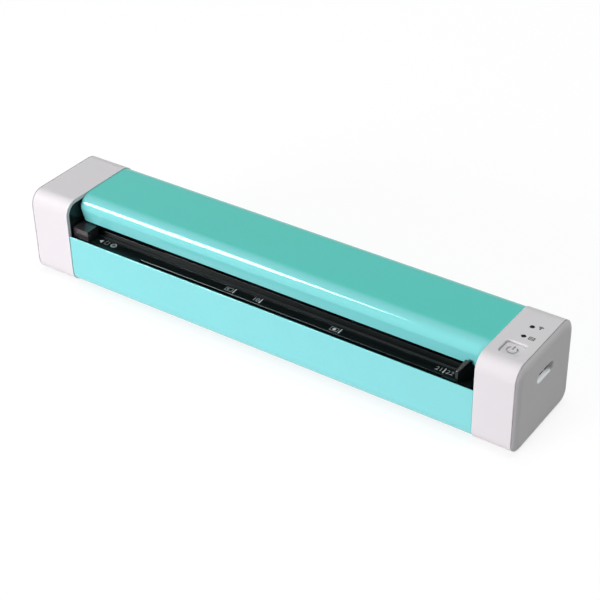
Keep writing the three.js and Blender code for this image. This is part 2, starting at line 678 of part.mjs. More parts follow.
function hingePins() {
  const ends = {
    left: [LEFT_PLATE_BACK - HINGE_PIN_REACH, COVER_INNER_LEFT],
    right: [COVER_INNER_RIGHT, RIGHT_PLATE_BACK + HINGE_PIN_REACH],
  };
  return Object.entries(ends).map(([side, [x0, x1]]) => {
    const pin = rodX(HINGE_PIN_RADIUS, x0, x1, 0, 0);
    const mesh = meshOf(`hinge_pin_${side}`, pin, MATERIALS.steel);
    return placed(mesh, 0, behindFront(HINGE_DEPTH), HINGE_HEIGHT);
  });
}

function rollerPlaces() {
  const first = BODY_MIDDLE - (ROLLER_SPACING * (ROLLER_COUNT - 1)) / 2;
  return Array.from({ length: ROLLER_COUNT }, (_, i) => first + i * ROLLER_SPACING);
}

// Tools that cut the windows of a row of rollers through a guide
function rollerWindows(axisDepth, radius, length, z0, z1) {
  return rollerPlaces().map((x) => block(
    [x - length / 2 - 2 * GAP, x + length / 2 + 2 * GAP],
    [behindFront(axisDepth - radius), behindFront(axisDepth + radius)],
    [z0, z1],
  ));
}

const LEVER_X = BODY_MIDDLE + ROLLER_SPACING / 2;
const LEVER_Y = behindFront(FEED_AXIS_DEPTH - LEVER_SETBACK);
const LEVER_PIVOT_HEIGHT = PAPER_HEIGHT - LEVER_PIVOT_DROP;
const LEVER_TIP_HEIGHT = UPPER_GUIDE_HEIGHT - GAP;

function leverEars() {
  const reach = LEVER_WIDTH / 2 + 2 * GAP;
  const sides = [[-reach - LEVER_EAR_WIDTH, -reach], [reach, reach + LEVER_EAR_WIDTH]];
  return sides.map(([x0, x1]) => {
    const drop = block(
      [LEVER_X + x0, LEVER_X + x1],
      [LEVER_Y - LEVER_EAR_RADIUS, LEVER_Y + LEVER_EAR_RADIUS],
      [LEVER_PIVOT_HEIGHT, BED_HEIGHT - TRAY_WALL / 2],
    );
    return fuse(drop, rodX(LEVER_EAR_RADIUS, LEVER_X + x0, LEVER_X + x1, LEVER_Y, LEVER_PIVOT_HEIGHT));
  });
}

const TRAY_REAR = SENSOR_FRONT - GAP;
const STEP_TOP = SHELF_REAR + BED_STEP_RUN;

function feedTray() {
  const [front, rear] = [behindFront(TRAY_FRONT), behindFront(TRAY_REAR)];
  const [shelfLow, bedLow] = [SHELF_HEIGHT - TRAY_WALL, BED_HEIGHT - TRAY_WALL];
  const profile = [
    [front, shelfLow],
    [behindFront(SHELF_REAR + TRAY_WALL - GAP), shelfLow],
    [behindFront(STEP_TOP + TRAY_WALL - GAP), bedLow],
    [rear, bedLow],
    [rear, BED_HEIGHT],
    [behindFront(STEP_TOP), BED_HEIGHT],
    [behindFront(SHELF_REAR), SHELF_HEIGHT],
    [front, SHELF_HEIGHT],
  ];
  const [x0, x1] = [BODY_LEFT, BODY_RIGHT];
  const slotY = [front - OVERRUN, behindFront(GUIDE_SLOT_REAR)];
  const guideSlot = block([x0 + GUIDE_SLOT_START, x1 + OVERRUN], slotY, [0, HEIGHT]);
  const ribY = behindFront(SHELF_REAR + BED_RIB_SETBACK);
  const rib = block(
    [x0 + BED_RIB_START, x1 - OVERRUN],
    [ribY, ribY + BED_RIB_WIDTH],
    [bedLow + TRAY_WALL / 2, BED_HEIGHT + BED_RIB_HEIGHT],
  );
  const reach = LEVER_WIDTH / 2 + GAP;
  const leverSlot = block(
    [LEVER_X - reach, LEVER_X + reach],
    [LEVER_Y - LEVER_THICKNESS / 2 - GAP, behindFront(FEED_AXIS_DEPTH)],
    [shelfLow - OVERRUN, HEIGHT],
  );
  const pinLength = LEVER_PIN_LENGTH / 2 + OVERRUN;
  const pinEnds = [LEVER_X - pinLength, LEVER_X + pinLength];
  const pinHole = rodX(LEVER_PIN_RADIUS + GAP, ...pinEnds, LEVER_Y, LEVER_PIVOT_HEIGHT);
  const windows = rollerWindows(FEED_AXIS_DEPTH, ROLLER_RADIUS, ROLLER_LENGTH, shelfLow, HEIGHT);
  const body = fuse(prismX(profile, x0, x1), rib, ...leverEars());
  return meshOf('feed_tray', cut(body, guideSlot, leverSlot, pinHole, ...windows), MATERIALS.black);
}

function exitGuide() {
  const front = SENSOR_REAR + GAP;
  const bend = EXIT_AXIS_DEPTH + EXIT_GUIDE_FLAT;
  const fallEnd = bend + EXIT_GUIDE_FALL_RUN;
  const rear = DEPTH - LOWER_INSET - GAP;
  const [high, low] = [BED_HEIGHT, BED_HEIGHT - EXIT_GUIDE_FALL];
  const profile = [
    [behindFront(front), high - TRAY_WALL],
    [behindFront(bend - TRAY_WALL / 2), high - TRAY_WALL],
    [behindFront(fallEnd - TRAY_WALL / 2), low - TRAY_WALL],
    [behindFront(rear), low - TRAY_WALL],
    [behindFront(rear), low],
    [behindFront(fallEnd), low],
    [behindFront(bend), high],
    [behindFront(front), high],
  ];
  const windows = rollerWindows(EXIT_AXIS_DEPTH, ROLLER_RADIUS, ROLLER_LENGTH, CHASSIS_TOP, HEIGHT);
  return meshOf('exit_guide', cut(prismX(profile, BODY_LEFT, BODY_RIGHT), ...windows), MATERIALS.black);
}

// The guides' underside, standing clear of the shelf and the bed
function overTray(tail) {
  return [
    [behindFront(tail), BED_HEIGHT + GAP],
    [behindFront(STEP_TOP - GAP), BED_HEIGHT + GAP],
    [behindFront(SHELF_REAR - GAP), SHELF_HEIGHT + GAP],
  ];
}

function fixedGuide() {
  const front = behindFront(TRAY_FRONT + GAP);
  const top = SHELF_HEIGHT + FIXED_GUIDE_HEIGHT;
  const tail = SHELF_REAR + FIXED_GUIDE_TAIL;
  const profile = [
    [front, top],
    [behindFront(tail), top],
    ...overTray(tail),
    [front, SHELF_HEIGHT + GAP],
  ];
  const x0 = BODY_LEFT + GAP;
  return meshOf('fixed_paper_guide', prismX(profile, x0, x0 + FIXED_GUIDE_WIDTH), MATERIALS.black);
}

// Fin that rides along the shelf in front of the lip, on a hooked foot in the slot
function slidingGuide() {
  const front = behindFront(TRAY_FRONT - GAP);
  const top = SHELF_HEIGHT + SLIDING_GUIDE_HEIGHT;
  const nose = SHELF_HEIGHT + FIN_FRONT_HEIGHT - FIN_NOSE_RADIUS;
  const underLip = LIP_EDGE_HEIGHT - GAP;
  const lipClear = 2 * GAP;
  const tail = SHELF_REAR + FIN_TAIL;
  const topRear = lipFace(top) - lipClear;
  const profile = [
    [front, SHELF_HEIGHT + GAP],
    ...arc(front + FIN_NOSE_RADIUS, nose, FIN_NOSE_RADIUS, 180, 110, SMALL_CORNER_STEPS),
    ...arc(topRear - FIN_TOP_RADIUS, top - FIN_TOP_RADIUS, FIN_TOP_RADIUS, 110, 0, SMALL_CORNER_STEPS),
    [lipFace(underLip) - lipClear, underLip],
    [behindFront(tail), underLip],
    ...overTray(tail),
  ];
  const x0 = BODY_RIGHT - SLIDING_GUIDE_INSET;
  const rearLeft = x0 + FIN_REAR_SHIFT;
  const plan = [
    [x0, front],
    [x0 + FIN_FRONT_WIDTH, front],
    [rearLeft + FIN_REAR_WIDTH, behindFront(tail)],
    [rearLeft, behindFront(tail)],
  ];
  const fin = prismX(profile, x0, rearLeft + FIN_REAR_WIDTH).intersect(prismZ(plan, 0, HEIGHT));
  const base = [x0 - SLIDER_LEAD, x0 - SLIDER_LEAD + SLIDER_LENGTH];
  const [slotFront, slotRear] = [behindFront(TRAY_FRONT + GAP), behindFront(GUIDE_SLOT_REAR - GAP)];
  const hookTop = SHELF_HEIGHT - TRAY_WALL - GAP;
  const hookLow = hookTop - SLIDER_HOOK_WALL;
  const web = block(base, [slotFront, slotRear], [hookLow, SHELF_HEIGHT + 2 * GAP]);
  const hook = block(base, [slotFront, slotRear + SLIDER_HOOK_DEPTH - GAP], [hookLow, hookTop]);
  return meshOf('sliding_paper_guide', fuse(fin, web, hook), MATERIALS.black);
}

const SPRING_STUD_TOP = SPRING_FOOT + PINCH_SPRING_RISE - GAP;

// Plate over the paper path, with end walls that carry the pinch shafts
function upperGuide() {
  const front = lipFace(LIP_EDGE_HEIGHT, COVER_WALL) + 2 * GAP;
  const leadEnd = front + UPPER_GUIDE_LEAD_RUN;
  const rear = behindFront(EXIT_AXIS_DEPTH + UPPER_GUIDE_TAIL);
  const [low, high] = [UPPER_GUIDE_HEIGHT, UPPER_GUIDE_TOP];
  const profile = [
    [front, low + UPPER_GUIDE_LEAD_RISE],
    [leadEnd, low],
    [rear, low],
    [rear, high],
    [leadEnd, high],
    [front, high + UPPER_GUIDE_LEAD_RISE],
  ];
  const wallY = [behindFront(FEED_AXIS_DEPTH - PINCH_RADIUS), rear];
  const wallZ = [high - UPPER_GUIDE_WALL / 2, COVER_CEILING - GAP];
  const leftWall = block([UPPER_GUIDE_LEFT, UPPER_GUIDE_LEFT + UPPER_GUIDE_END_WALL], wallY, wallZ);
  const rightWall = block([UPPER_GUIDE_RIGHT - UPPER_GUIDE_END_WALL, UPPER_GUIDE_RIGHT], wallY, wallZ);
  const studs = pinchSpringPlaces().map((x) => (
    rodZ(GUIDE_POST_RADIUS, x, behindFront(SPRING_MIDDLE), high - UPPER_GUIDE_WALL / 4, SPRING_STUD_TOP)
  ));
  const plate = prismX(profile, UPPER_GUIDE_LEFT, UPPER_GUIDE_RIGHT);
  const tools = [];
  for (const axisDepth of [FEED_AXIS_DEPTH, EXIT_AXIS_DEPTH]) {
    const y = behindFront(axisDepth);
    const reach = PINCH_SHAFT_RADIUS + GAP;
    const [x0, x1] = [UPPER_GUIDE_LEFT - OVERRUN, UPPER_GUIDE_RIGHT + OVERRUN];
    const slotTop = PINCH_AXIS_HEIGHT + reach + PINCH_LIFT;
    const slot = [...arc(y, PINCH_AXIS_HEIGHT, reach, 180, 360), [y + reach, slotTop], [y - reach, slotTop]];
    tools.push(prismX(slot, x0, x1));
    tools.push(...rollerWindows(axisDepth, PINCH_RADIUS + GAP, PINCH_LENGTH, low - OVERRUN, SPRING_FOOT));
  }
  tools.push(block(
    [SENSOR_LEFT - GAP, SENSOR_RIGHT + GAP],
    [behindFront(SENSOR_FRONT - GAP), behindFront(SENSOR_REAR + GAP)],
    [low - OVERRUN, PAPER_HEIGHT + GAP + BACKING_THICKNESS + GAP],
  ));
  const solid = cut(fuse(plate, leftWall, rightWall, ...studs), ...tools);
  return meshOf('upper_guide', solid, MATERIALS.black);
}

function backingPlate() {
  const low = PAPER_HEIGHT + GAP;
  const plate = block(
    [SENSOR_LEFT, SENSOR_RIGHT],
    [behindFront(SENSOR_FRONT), behindFront(SENSOR_REAR)],
    [low, low + BACKING_THICKNESS],
  );
  return meshOf('backing_plate', plate, MATERIALS.backing);
}

// Bowed leaf springs that press both pinch shafts down
function pinchSprings() {
  const halfSpan = (EXIT_AXIS_DEPTH - FEED_AXIS_DEPTH) / 2;
  const radius = (halfSpan ** 2 + PINCH_SPRING_RISE ** 2) / (2 * PINCH_SPRING_RISE);
  const half = THREE.MathUtils.radToDeg(Math.asin(halfSpan / radius));
  const centre = SPRING_FOOT + PINCH_SPRING_RISE - radius;
  const y = behindFront(SPRING_MIDDLE);
  const profile = [
    ...arc(y, centre, radius + PINCH_SPRING_THICKNESS, 90 - half, 90 + half),
    ...arc(y, centre, radius, 90 + half, 90 - half),
  ];
  return pinchSpringPlaces().map((x, i) => {
    const leaf = prismX(profile, -PINCH_SPRING_WIDTH / 2, PINCH_SPRING_WIDTH / 2);
    return placed(meshOf(`pinch_spring_${['left', 'right'][i]}`, leaf, MATERIALS.steel), x, 0, 0);
  });
}

// A ring about the X axis, as long as it is wide along X
function tube(outer, inner, length) {
  const ring = rodX(outer, -length / 2, length / 2, 0, 0, ROUND_STEPS);
  return cut(ring, rodX(inner, -length, length, 0, 0));
}

// A shaft with its rollers: names, sizes and place
function rollerSet(name, { shaftRadius, ends, radius, length, y, z }, finish) {
  const shaft = placed(meshOf(`${name}_shaft`, rodX(shaftRadius, ...ends, 0, 0), MATERIALS.steel), 0, y, z);
  const rollers = rollerPlaces().map((x, i) => (
    placed(meshOf(`${name}_roller_${i + 1}`, tube(radius, shaftRadius + GAP, length), finish), x, y, z)
  ));
  return [shaft, ...rollers];
}

const GEAR_B_RIGHT = LEFT_PLATE_BACK - GEAR_SPACE;
const GEAR_B_LEFT = GEAR_B_RIGHT - GEAR_WIDTH;
const GEAR_A_RIGHT = GEAR_B_LEFT - GAP;
const GEAR_A_LEFT = GEAR_A_RIGHT - GEAR_WIDTH;
const FEED_AXIS = [behindFront(FEED_AXIS_DEPTH), ROLLER_AXIS_HEIGHT];
const EXIT_AXIS = [behindFront(EXIT_AXIS_DEPTH), ROLLER_AXIS_HEIGHT];
const DRIVE_TEETH = Math.round((EXIT_AXIS_DEPTH - FEED_AXIS_DEPTH) / GEAR_MODULE - IDLER_TEETH);
const IDLER_AXIS = [behindFront(SPRING_MIDDLE), ROLLER_AXIS_HEIGHT];
const COMPOUND_AXIS = meshedAxis(FEED_AXIS, DRIVE_TEETH + COMPOUND_SMALL_TEETH, COMPOUND_ANGLE);
const MOTOR_AXIS = meshedAxis(COMPOUND_AXIS, COMPOUND_LARGE_TEETH + PINION_TEETH, MOTOR_ANGLE);

function pitchRadius(teeth) {
  return (teeth * GEAR_MODULE) / 2;
}

// Axis of a gear that meshes with another, in a direction given in degrees
function meshedAxis([y, z], teethTogether, direction) {
  const angle = THREE.MathUtils.degToRad(direction);
  const distance = pitchRadius(teethTogether);
  return [y + distance * Math.cos(angle), z + distance * Math.sin(angle)];
}

// Turn of a gear that puts its gaps against the teeth of its neighbour, all in shares of a full turn
function meshedTurn(turn, teeth, nextTeeth, direction) {
  const share = direction / 360;
  const offset = (share - turn) * teeth;
  return share + 1 / 2 - (1 / 2 - offset) / nextTeeth;
}

function gearOutline(teeth, turn) {
  const pitch = pitchRadius(teeth);
  const tip = pitch + ADDENDUM_SHARE * GEAR_MODULE;
  const root = pitch - DEDENDUM_SHARE * GEAR_MODULE;
  const lean = Math.tan(THREE.MathUtils.degToRad(PRESSURE_ANGLE));
  const halfTooth = ((Math.PI * GEAR_MODULE) / 2 - GEAR_BACKLASH) / 2;
  const tipHalf = (halfTooth - lean * (tip - pitch)) / tip;
  const rootHalf = (halfTooth + lean * (pitch - root)) / root;
  const points = [];
  for (let i = 0; i < teeth; i++) {
    const middle = 2 * Math.PI * (turn + i / teeth);
    for (const [radius, angle] of [[root, -rootHalf], [tip, -tipHalf], [tip, tipHalf], [root, rootHalf]]) {
      points.push([radius * Math.cos(middle + angle), radius * Math.sin(middle + angle)]);
    }
  }
  return points;
}

function gear(name, teeth, turn, bore, [x0, x1], [y, z]) {
  const body = cut(prismX(gearOutline(teeth, turn), x0, x1), rodX(bore, x0 - OVERRUN, x1 + OVERRUN, 0, 0));
  return placed(meshOf(name, body, MATERIALS.gear), 0, y, z);
}

const IDLER_TURN = meshedTurn(0, DRIVE_TEETH, IDLER_TEETH, 0);
const EXIT_TURN = meshedTurn(IDLER_TURN, IDLER_TEETH, DRIVE_TEETH, 0);
const COMPOUND_TURN = meshedTurn(0, DRIVE_TEETH, COMPOUND_SMALL_TEETH, COMPOUND_ANGLE);
const PINION_TURN = meshedTurn(COMPOUND_TURN, COMPOUND_LARGE_TEETH, PINION_TEETH, MOTOR_ANGLE);

function gears() {
  const plane = [GEAR_B_LEFT, GEAR_B_RIGHT];
  const shaftBore = SHAFT_RADIUS + GAP;
  const pinBore = GEAR_PIN_RADIUS + GAP;
  const smallEnd = GEAR_A_RIGHT - GEAR_WIDTH / 2;
  const small = prismX(gearOutline(COMPOUND_SMALL_TEETH, COMPOUND_TURN), smallEnd, GEAR_B_RIGHT);
  const large = prismX(gearOutline(COMPOUND_LARGE_TEETH, COMPOUND_TURN), GEAR_A_LEFT, GEAR_A_RIGHT);
  const bore = rodX(pinBore, GEAR_A_LEFT - OVERRUN, GEAR_B_RIGHT + OVERRUN, 0, 0);
  const compound = meshOf('compound_gear', cut(fuse(small, large), bore), MATERIALS.gear);
  const pinion = prismX(gearOutline(PINION_TEETH, PINION_TURN), GEAR_A_LEFT, GEAR_A_RIGHT);
  const motorShaft = rodX(MOTOR_SHAFT_RADIUS, MOTOR_FACE - GEAR_WIDTH, GEAR_A_RIGHT - GEAR_WIDTH / 2, 0, 0);
  return [
    gear('feed_gear', DRIVE_TEETH, 0, shaftBore, plane, FEED_AXIS),
    gear('idler_gear', IDLER_TEETH, IDLER_TURN, pinBore, plane, IDLER_AXIS),
    gear('exit_gear', DRIVE_TEETH, EXIT_TURN, shaftBore, plane, EXIT_AXIS),
    placed(compound, 0, ...COMPOUND_AXIS),
    placed(meshOf('motor_pinion', fuse(pinion, motorShaft), MATERIALS.steel), 0, ...MOTOR_AXIS),
  ];
}

const BRACKET_RIGHT = GEAR_A_LEFT - GAP;
const BRACKET_LEFT = BRACKET_RIGHT - BRACKET_WALL;
const MOTOR_FACE = BRACKET_LEFT - GAP;

function motor() {
  const can = rodX(MOTOR_RADIUS, MOTOR_FACE - MOTOR_LENGTH, MOTOR_FACE, 0, 0, ROUND_STEPS);
  const shaftHole = rodX(MOTOR_SHAFT_RADIUS + GAP, MOTOR_FACE - GEAR_WIDTH - GAP, MOTOR_FACE + OVERRUN, 0, 0);
  return placed(meshOf('motor', cut(can, shaftHole), MATERIALS.steel), 0, ...MOTOR_AXIS);
}

// Plate that holds the motor, on legs that stand on the left side plate
function motorBracket() {
  const [y, z] = MOTOR_AXIS;
  const reach = MOTOR_RADIUS + BRACKET_MARGIN;
  const [front, rear] = [y - reach, y + reach];
  const low = CAP_WALL + GAP + BRACKET_WALL;
  const legs = [[y - BRACKET_LEG / 2, low], [rear - BRACKET_LEG, low], [rear - BRACKET_LEG, z - BRACKET_LEG]];
  const plate = block([BRACKET_LEFT, BRACKET_RIGHT], [front, rear], [low, z + reach - BRACKET_LEG]);
  const posts = legs.map(([legY, legZ]) => block(
    [BRACKET_RIGHT - BRACKET_WALL / 2, LEFT_PLATE_BACK - GAP],
    [legY, legY + BRACKET_LEG],
    [legZ, legZ + BRACKET_LEG],
  ));
  const hole = rodX(MOTOR_SHAFT_RADIUS + GAP, BRACKET_LEFT - OVERRUN, BRACKET_RIGHT + OVERRUN, y, z);
  return meshOf('motor_bracket', cut(fuse(plate, ...posts), hole), MATERIALS.steel);
}

// Holes that both side plates share: the two shafts, the hinge pin and a window for the wires
function plateHoles(x0, x1) {
  const [hingeY, hingeZ] = [behindFront(HINGE_DEPTH), HINGE_HEIGHT];
  return [
    rodX(SHAFT_RADIUS + GAP, x0, x1, ...FEED_AXIS),
    rodX(SHAFT_RADIUS + GAP, x0, x1, ...EXIT_AXIS),
    rodX(HINGE_PIN_RADIUS + GAP, x0, x1, hingeY, hingeZ),
    block(
      [x0, x1],
      [behindFront(PLATE_WINDOW_FRONT), behindFront(PLATE_WINDOW_REAR)],
      [PLATE_WINDOW_LOW, PLATE_WINDOW_HIGH],
    ),
  ];
}

function leftSidePlate() {
  const outline = housingOutline(CAP_WALL + GAP);
  const plate = prismX(outline, LEFT_PLATE_BACK, LEFT_PLATE_FACE);
  const root = LEFT_PLATE_BACK + PLATE_WALL / 2;
  const idlerPin = rodX(GEAR_PIN_RADIUS, GEAR_B_LEFT, root, ...IDLER_AXIS);
  const compoundPin = rodX(GEAR_PIN_RADIUS, GEAR_A_LEFT, root, ...COMPOUND_AXIS);
  const holes = plateHoles(LEFT_PLATE_BACK - OVERRUN, LEFT_PLATE_FACE + OVERRUN);
  return meshOf('left_side_plate', fuse(cut(plate, ...holes), idlerPin, compoundPin), MATERIALS.black);
}

function rightSidePlate() {
  const outline = housingOutline(CAP_WALL + GAP);
  const plate = prismX(outline, RIGHT_PLATE_FACE, RIGHT_PLATE_BACK);
  const holes = plateHoles(RIGHT_PLATE_FACE - OVERRUN, RIGHT_PLATE_BACK + OVERRUN);
  const top = SIDE_BOARD_TOP - BOARD_WALL - GAP;
  const ledges = BOARD_LEDGE_PLACES.map((place) => block(
    [RIGHT_PLATE_BACK - PLATE_WALL / 2, RIGHT_PLATE_BACK + BOARD_LEDGE_LENGTH],
    [behindFront(place), behindFront(place + BOARD_LEDGE_WIDTH)],
    [top - PLATE_WALL, top],
  ));
  return meshOf('right_side_plate', fuse(cut(plate, ...holes), ...ledges), MATERIALS.black);
}

// Floor and cross ribs between the side plates, on posts over the screw bosses
function chassis() {
  const [x0, x1] = [LEFT_PLATE_FACE + GAP, RIGHT_PLATE_FACE - GAP];
  const [front, rear] = [LOWER_INSET + CHASSIS_SIDE_MARGIN, DEPTH - LOWER_INSET - CHASSIS_SIDE_MARGIN];
  const floor = block([x0, x1], [behindFront(front), behindFront(rear)], [CHASSIS_FLOOR_HEIGHT, CHASSIS_TOP]);
  const root = CHASSIS_TOP - CHASSIS_WALL / 2;
  const bedSeat = BED_HEIGHT - TRAY_WALL - GAP;
  const ribs = [
    [SHELF_REAR - GAP - CHASSIS_RIB, SHELF_HEIGHT - TRAY_WALL - GAP],
    [SENSOR_FRONT - GAP - CHASSIS_RIB, bedSeat],
    [SENSOR_REAR + GAP, bedSeat],
    [rear - CHASSIS_RIB, bedSeat - EXIT_GUIDE_FALL],
  ].map(([place, top]) => (
    block([x0, x1], [behindFront(place), behindFront(place + CHASSIS_RIB)], [root, top])
  ));
  const pads = rollerPlaces().map((x) => block(
    [x - PINCH_LENGTH / 2, x + PINCH_LENGTH / 2],
    [behindFront(SENSOR_FRONT + CHASSIS_RIB), behindFront(SENSOR_REAR - CHASSIS_RIB)],
    [root, SENSOR_TOP - SENSOR_HEIGHT - GAP],
  ));
  const posts = bossPlaces().map(([x, y]) => (
    rodZ(BOSS_RADIUS, x, y, BOSS_TOP + GAP, CHASSIS_FLOOR_HEIGHT + CHASSIS_WALL / 2, ROUND_STEPS)
  ));
  const holes = bossPlaces().map(([x, y]) => (
    rodZ(SCREW_RADIUS + GAP, x, y, BOSS_TOP, SCREW_TOP + GAP)
  ));
  const windows = rollerWindows(EXIT_AXIS_DEPTH, ROLLER_RADIUS + GAP, ROLLER_LENGTH, CHASSIS_TOP, HEIGHT);
  const body = cut(fuse(floor, ...ribs, ...pads, ...posts), ...holes, ...windows);
  return meshOf('chassis', body, MATERIALS.grey);
}

function imageSensor() {
  const bar = block(
    [SENSOR_LEFT, SENSOR_RIGHT],
    [behindFront(SENSOR_FRONT), behindFront(SENSOR_REAR)],
    [SENSOR_TOP - SENSOR_HEIGHT, SENSOR_TOP],
  );
  const glass = block(
    [SENSOR_LEFT + GLASS_INSET, SENSOR_RIGHT - GLASS_INSET],
    [behindFront(SENSOR_FRONT + GLASS_INSET), behindFront(SENSOR_REAR - GLASS_INSET)],
    [GLASS_TOP - GLASS_THICKNESS, GLASS_TOP],
  );
  return [
    meshOf('image_sensor_bar', bar, MATERIALS.black),
    meshOf('sensor_glass', glass, MATERIALS.glass),
  ];
}

// Main board with its chips, standing on the posts of the lower cover
function mainBoard() {
  const [left, right] = [MAIN_BOARD_START, LOWER_SPACE_END];
  const half = MAIN_BOARD_WIDTH / 2;
  const top = MAIN_BOARD_HEIGHT + BOARD_WALL;
  const board = block([left, right], [-half, half], [MAIN_BOARD_HEIGHT, top]);
  const chips = [1, 2, 3].map((i) => {
    const x = left + ((right - left) * i) / 4;
    const y = (half / 2) * (i % 2 ? 1 : -1);
    const [reachX, reachY] = [CHIP_SIZE / 2, CHIP_SIZE / (2 + i / 2)];
    const heights = [top - BOARD_WALL / 2, top + CHIP_HEIGHT];
    return block([x - reachX, x + reachX], [y - reachY, y + reachY], heights);
  });
  return meshOf('main_board', fuse(board, ...chips), MATERIALS.board);
}

function battery() {
  const x0 = LOWER_SPACE_START;
  const x1 = x0 + (LOWER_SPACE_END - x0) * BATTERY_LENGTH_SHARE;
  const [low, high] = [LOWER_INSET + GAP, CHASSIS_FLOOR_HEIGHT - BATTERY_HEADROOM];
  const [y, r] = [BATTERY_WIDTH / 2 - BATTERY_CORNER, BATTERY_CORNER];
  const profile = [
    ...arc(y, high - r, r, 0, 90, SMALL_CORNER_STEPS),
    ...arc(-y, high - r, r, 90, 180, SMALL_CORNER_STEPS),
    ...arc(-y, low + r, r, 180, 270, SMALL_CORNER_STEPS),
    ...arc(y, low + r, r, 270, 360, SMALL_CORNER_STEPS),
  ];
  return meshOf('battery', prismX(profile, x0, x1), MATERIALS.battery);
}

const SOCKET_FACE = LENGTH / 2 - SOCKET_SETBACK;

// Board in the right end cap, which carries the socket, the switch and the lamps
function sideBoard() {
  const board = block(
    [RIGHT_PLATE_BACK + GAP, SOCKET_FACE],
    [behindFront(SIDE_BOARD_FRONT), behindFront(SIDE_BOARD_REAR)],
    [SIDE_BOARD_TOP - BOARD_WALL, SIDE_BOARD_TOP],
  );
  const x = LENGTH / 2 - LIGHT_PIPE_END_INSET;
  const lampTop = SIDE_BOARD_TOP + LAMP_HEIGHT;
  const lamps = LIGHT_PIPE_PLACES.map((place) => (
    rodZ(LIGHT_PIPE_RADIUS, x, behindFront(place), SIDE_BOARD_TOP - BOARD_WALL / 2, lampTop)
  ));
  return meshOf('side_board', fuse(board, ...lamps), MATERIALS.board);
}

function usbSocket() {
  const y = behindFront(SOCKET_DEPTH_PLACE);
  const [w, h] = [SOCKET_WIDTH / 2, SOCKET_HEIGHT / 2];
  const ends = [SOCKET_FACE - SOCKET_LENGTH, SOCKET_FACE];
  const shell = block(ends, [y - w, y + w], [PORT_HEIGHT - h, PORT_HEIGHT + h]);
  const mouth = block(
    [SOCKET_FACE - SOCKET_LENGTH + SOCKET_WALL, SOCKET_FACE + OVERRUN],
    [y - w + SOCKET_WALL, y + w - SOCKET_WALL],
    [PORT_HEIGHT - h + SOCKET_WALL, PORT_HEIGHT + h - SOCKET_WALL],
  );
  const tongue = block(
    [SOCKET_FACE - SOCKET_LENGTH + SOCKET_WALL / 2, SOCKET_FACE - SOCKET_WALL],
    [y - w / 2, y + w / 2],
    [PORT_HEIGHT - SOCKET_WALL / 2, PORT_HEIGHT + SOCKET_WALL],
  );
  return meshOf('usb_socket', fuse(cut(shell, mouth), tongue), MATERIALS.steel);
}

const BUTTON_Y = behindFront(BUTTON_DEPTH_PLACE);
const SWITCH_LOW = SIDE_BOARD_TOP + GAP;
const PLUNGER_TOP = SWITCH_LOW + SWITCH_HEIGHT + PLUNGER_HEIGHT;

function tactSwitch() {
  const half = SWITCH_SIZE / 2;
  const [x, y] = [BUTTON_X, BUTTON_Y];
  const body = block([x - half, x + half], [y - half, y + half], [SWITCH_LOW, SWITCH_LOW + SWITCH_HEIGHT]);
  const plunger = rodZ(PLUNGER_RADIUS, x, y, SWITCH_LOW + SWITCH_HEIGHT / 2, PLUNGER_TOP);
  return meshOf('power_switch', fuse(body, plunger), MATERIALS.steel);
}

// Inner face of an end cap above a place within the round of its top front edge
function capCeiling(place) {
  const radius = FRONT_TOP_RADIUS - CAP_WALL;
  const along = Math.max(0, FRONT_TOP_RADIUS - place);
  return HEIGHT - FRONT_TOP_RADIUS + Math.sqrt(radius ** 2 - along ** 2);
}

// Button that sinks into its square hole, kept in by a flange and reaching down to the switch
function powerButton() {
  const top = HEIGHT - BUTTON_SINK;
  const flangeTop = capCeiling(BUTTON_DEPTH_PLACE - BUTTON_SIZE / 2 - BUTTON_FLANGE) - GAP;
  const size = BUTTON_SIZE - 2 * GAP;
  const flangeLow = flangeTop - BUTTON_PLATE;
  const face = prismZ(roundedSquare(0, 0, size, BUTTON_CORNER - GAP), flangeLow, top);
  const flangeSize = BUTTON_SIZE + 2 * BUTTON_FLANGE;
  const flange = prismZ(roundedSquare(0, 0, flangeSize, BUTTON_CORNER), flangeLow, flangeTop);
  const stemLow = PLUNGER_TOP + BUTTON_TRAVEL + GAP;
  const stem = rodZ(BUTTON_STEM_RADIUS, 0, 0, stemLow, flangeLow + BUTTON_PLATE / 2);
  return placed(meshOf('power_button', fuse(face, flange, stem), MATERIALS.white), BUTTON_X, BUTTON_Y, 0);
}

function lightPipes() {
  const x = LENGTH / 2 - LIGHT_PIPE_END_INSET;
  const [low, high] = [SIDE_BOARD_TOP + LAMP_HEIGHT + GAP, HEIGHT - LIGHT_PIPE_SINK];
  return LIGHT_PIPE_PLACES.map((place, i) => {
    const mesh = meshOf(`light_pipe_${i + 1}`, rodZ(LIGHT_PIPE_RADIUS, 0, 0, low, high), MATERIALS.lens);
    return placed(mesh, x, behindFront(place), 0);
  });
}

// Lever on a cross pin: its tip stands in the paper path and its flag hangs below
function sensorLever() {
  const half = LEVER_THICKNESS / 2;
  const pin = LEVER_PIN_LENGTH / 2;
  const arm = block(
    [-LEVER_WIDTH / 2, LEVER_WIDTH / 2],
    [-half, half],
    [-LEVER_FLAG, LEVER_TIP_HEIGHT - LEVER_PIVOT_HEIGHT],
  );
  const solid = fuse(arm, rodX(LEVER_PIN_RADIUS, -pin, pin, 0, 0));
  const mesh = meshOf('paper_sensor_lever', solid, MATERIALS.black);
  return placed(mesh, LEVER_X, LEVER_Y, LEVER_PIVOT_HEIGHT);
}

function driveShafts() {
  const ends = [GEAR_B_LEFT, RIGHT_PLATE_BACK + GEAR_SPACE];
  const sizes = { shaftRadius: SHAFT_RADIUS, ends, radius: ROLLER_RADIUS, length: ROLLER_LENGTH };
  const [feedY, z] = FEED_AXIS;
  const [exitY] = EXIT_AXIS;
  return [
    ...rollerSet('feed', { ...sizes, y: feedY, z }, MATERIALS.rubber),
    ...rollerSet('exit', { ...sizes, y: exitY, z }, MATERIALS.rubber),
  ];
}

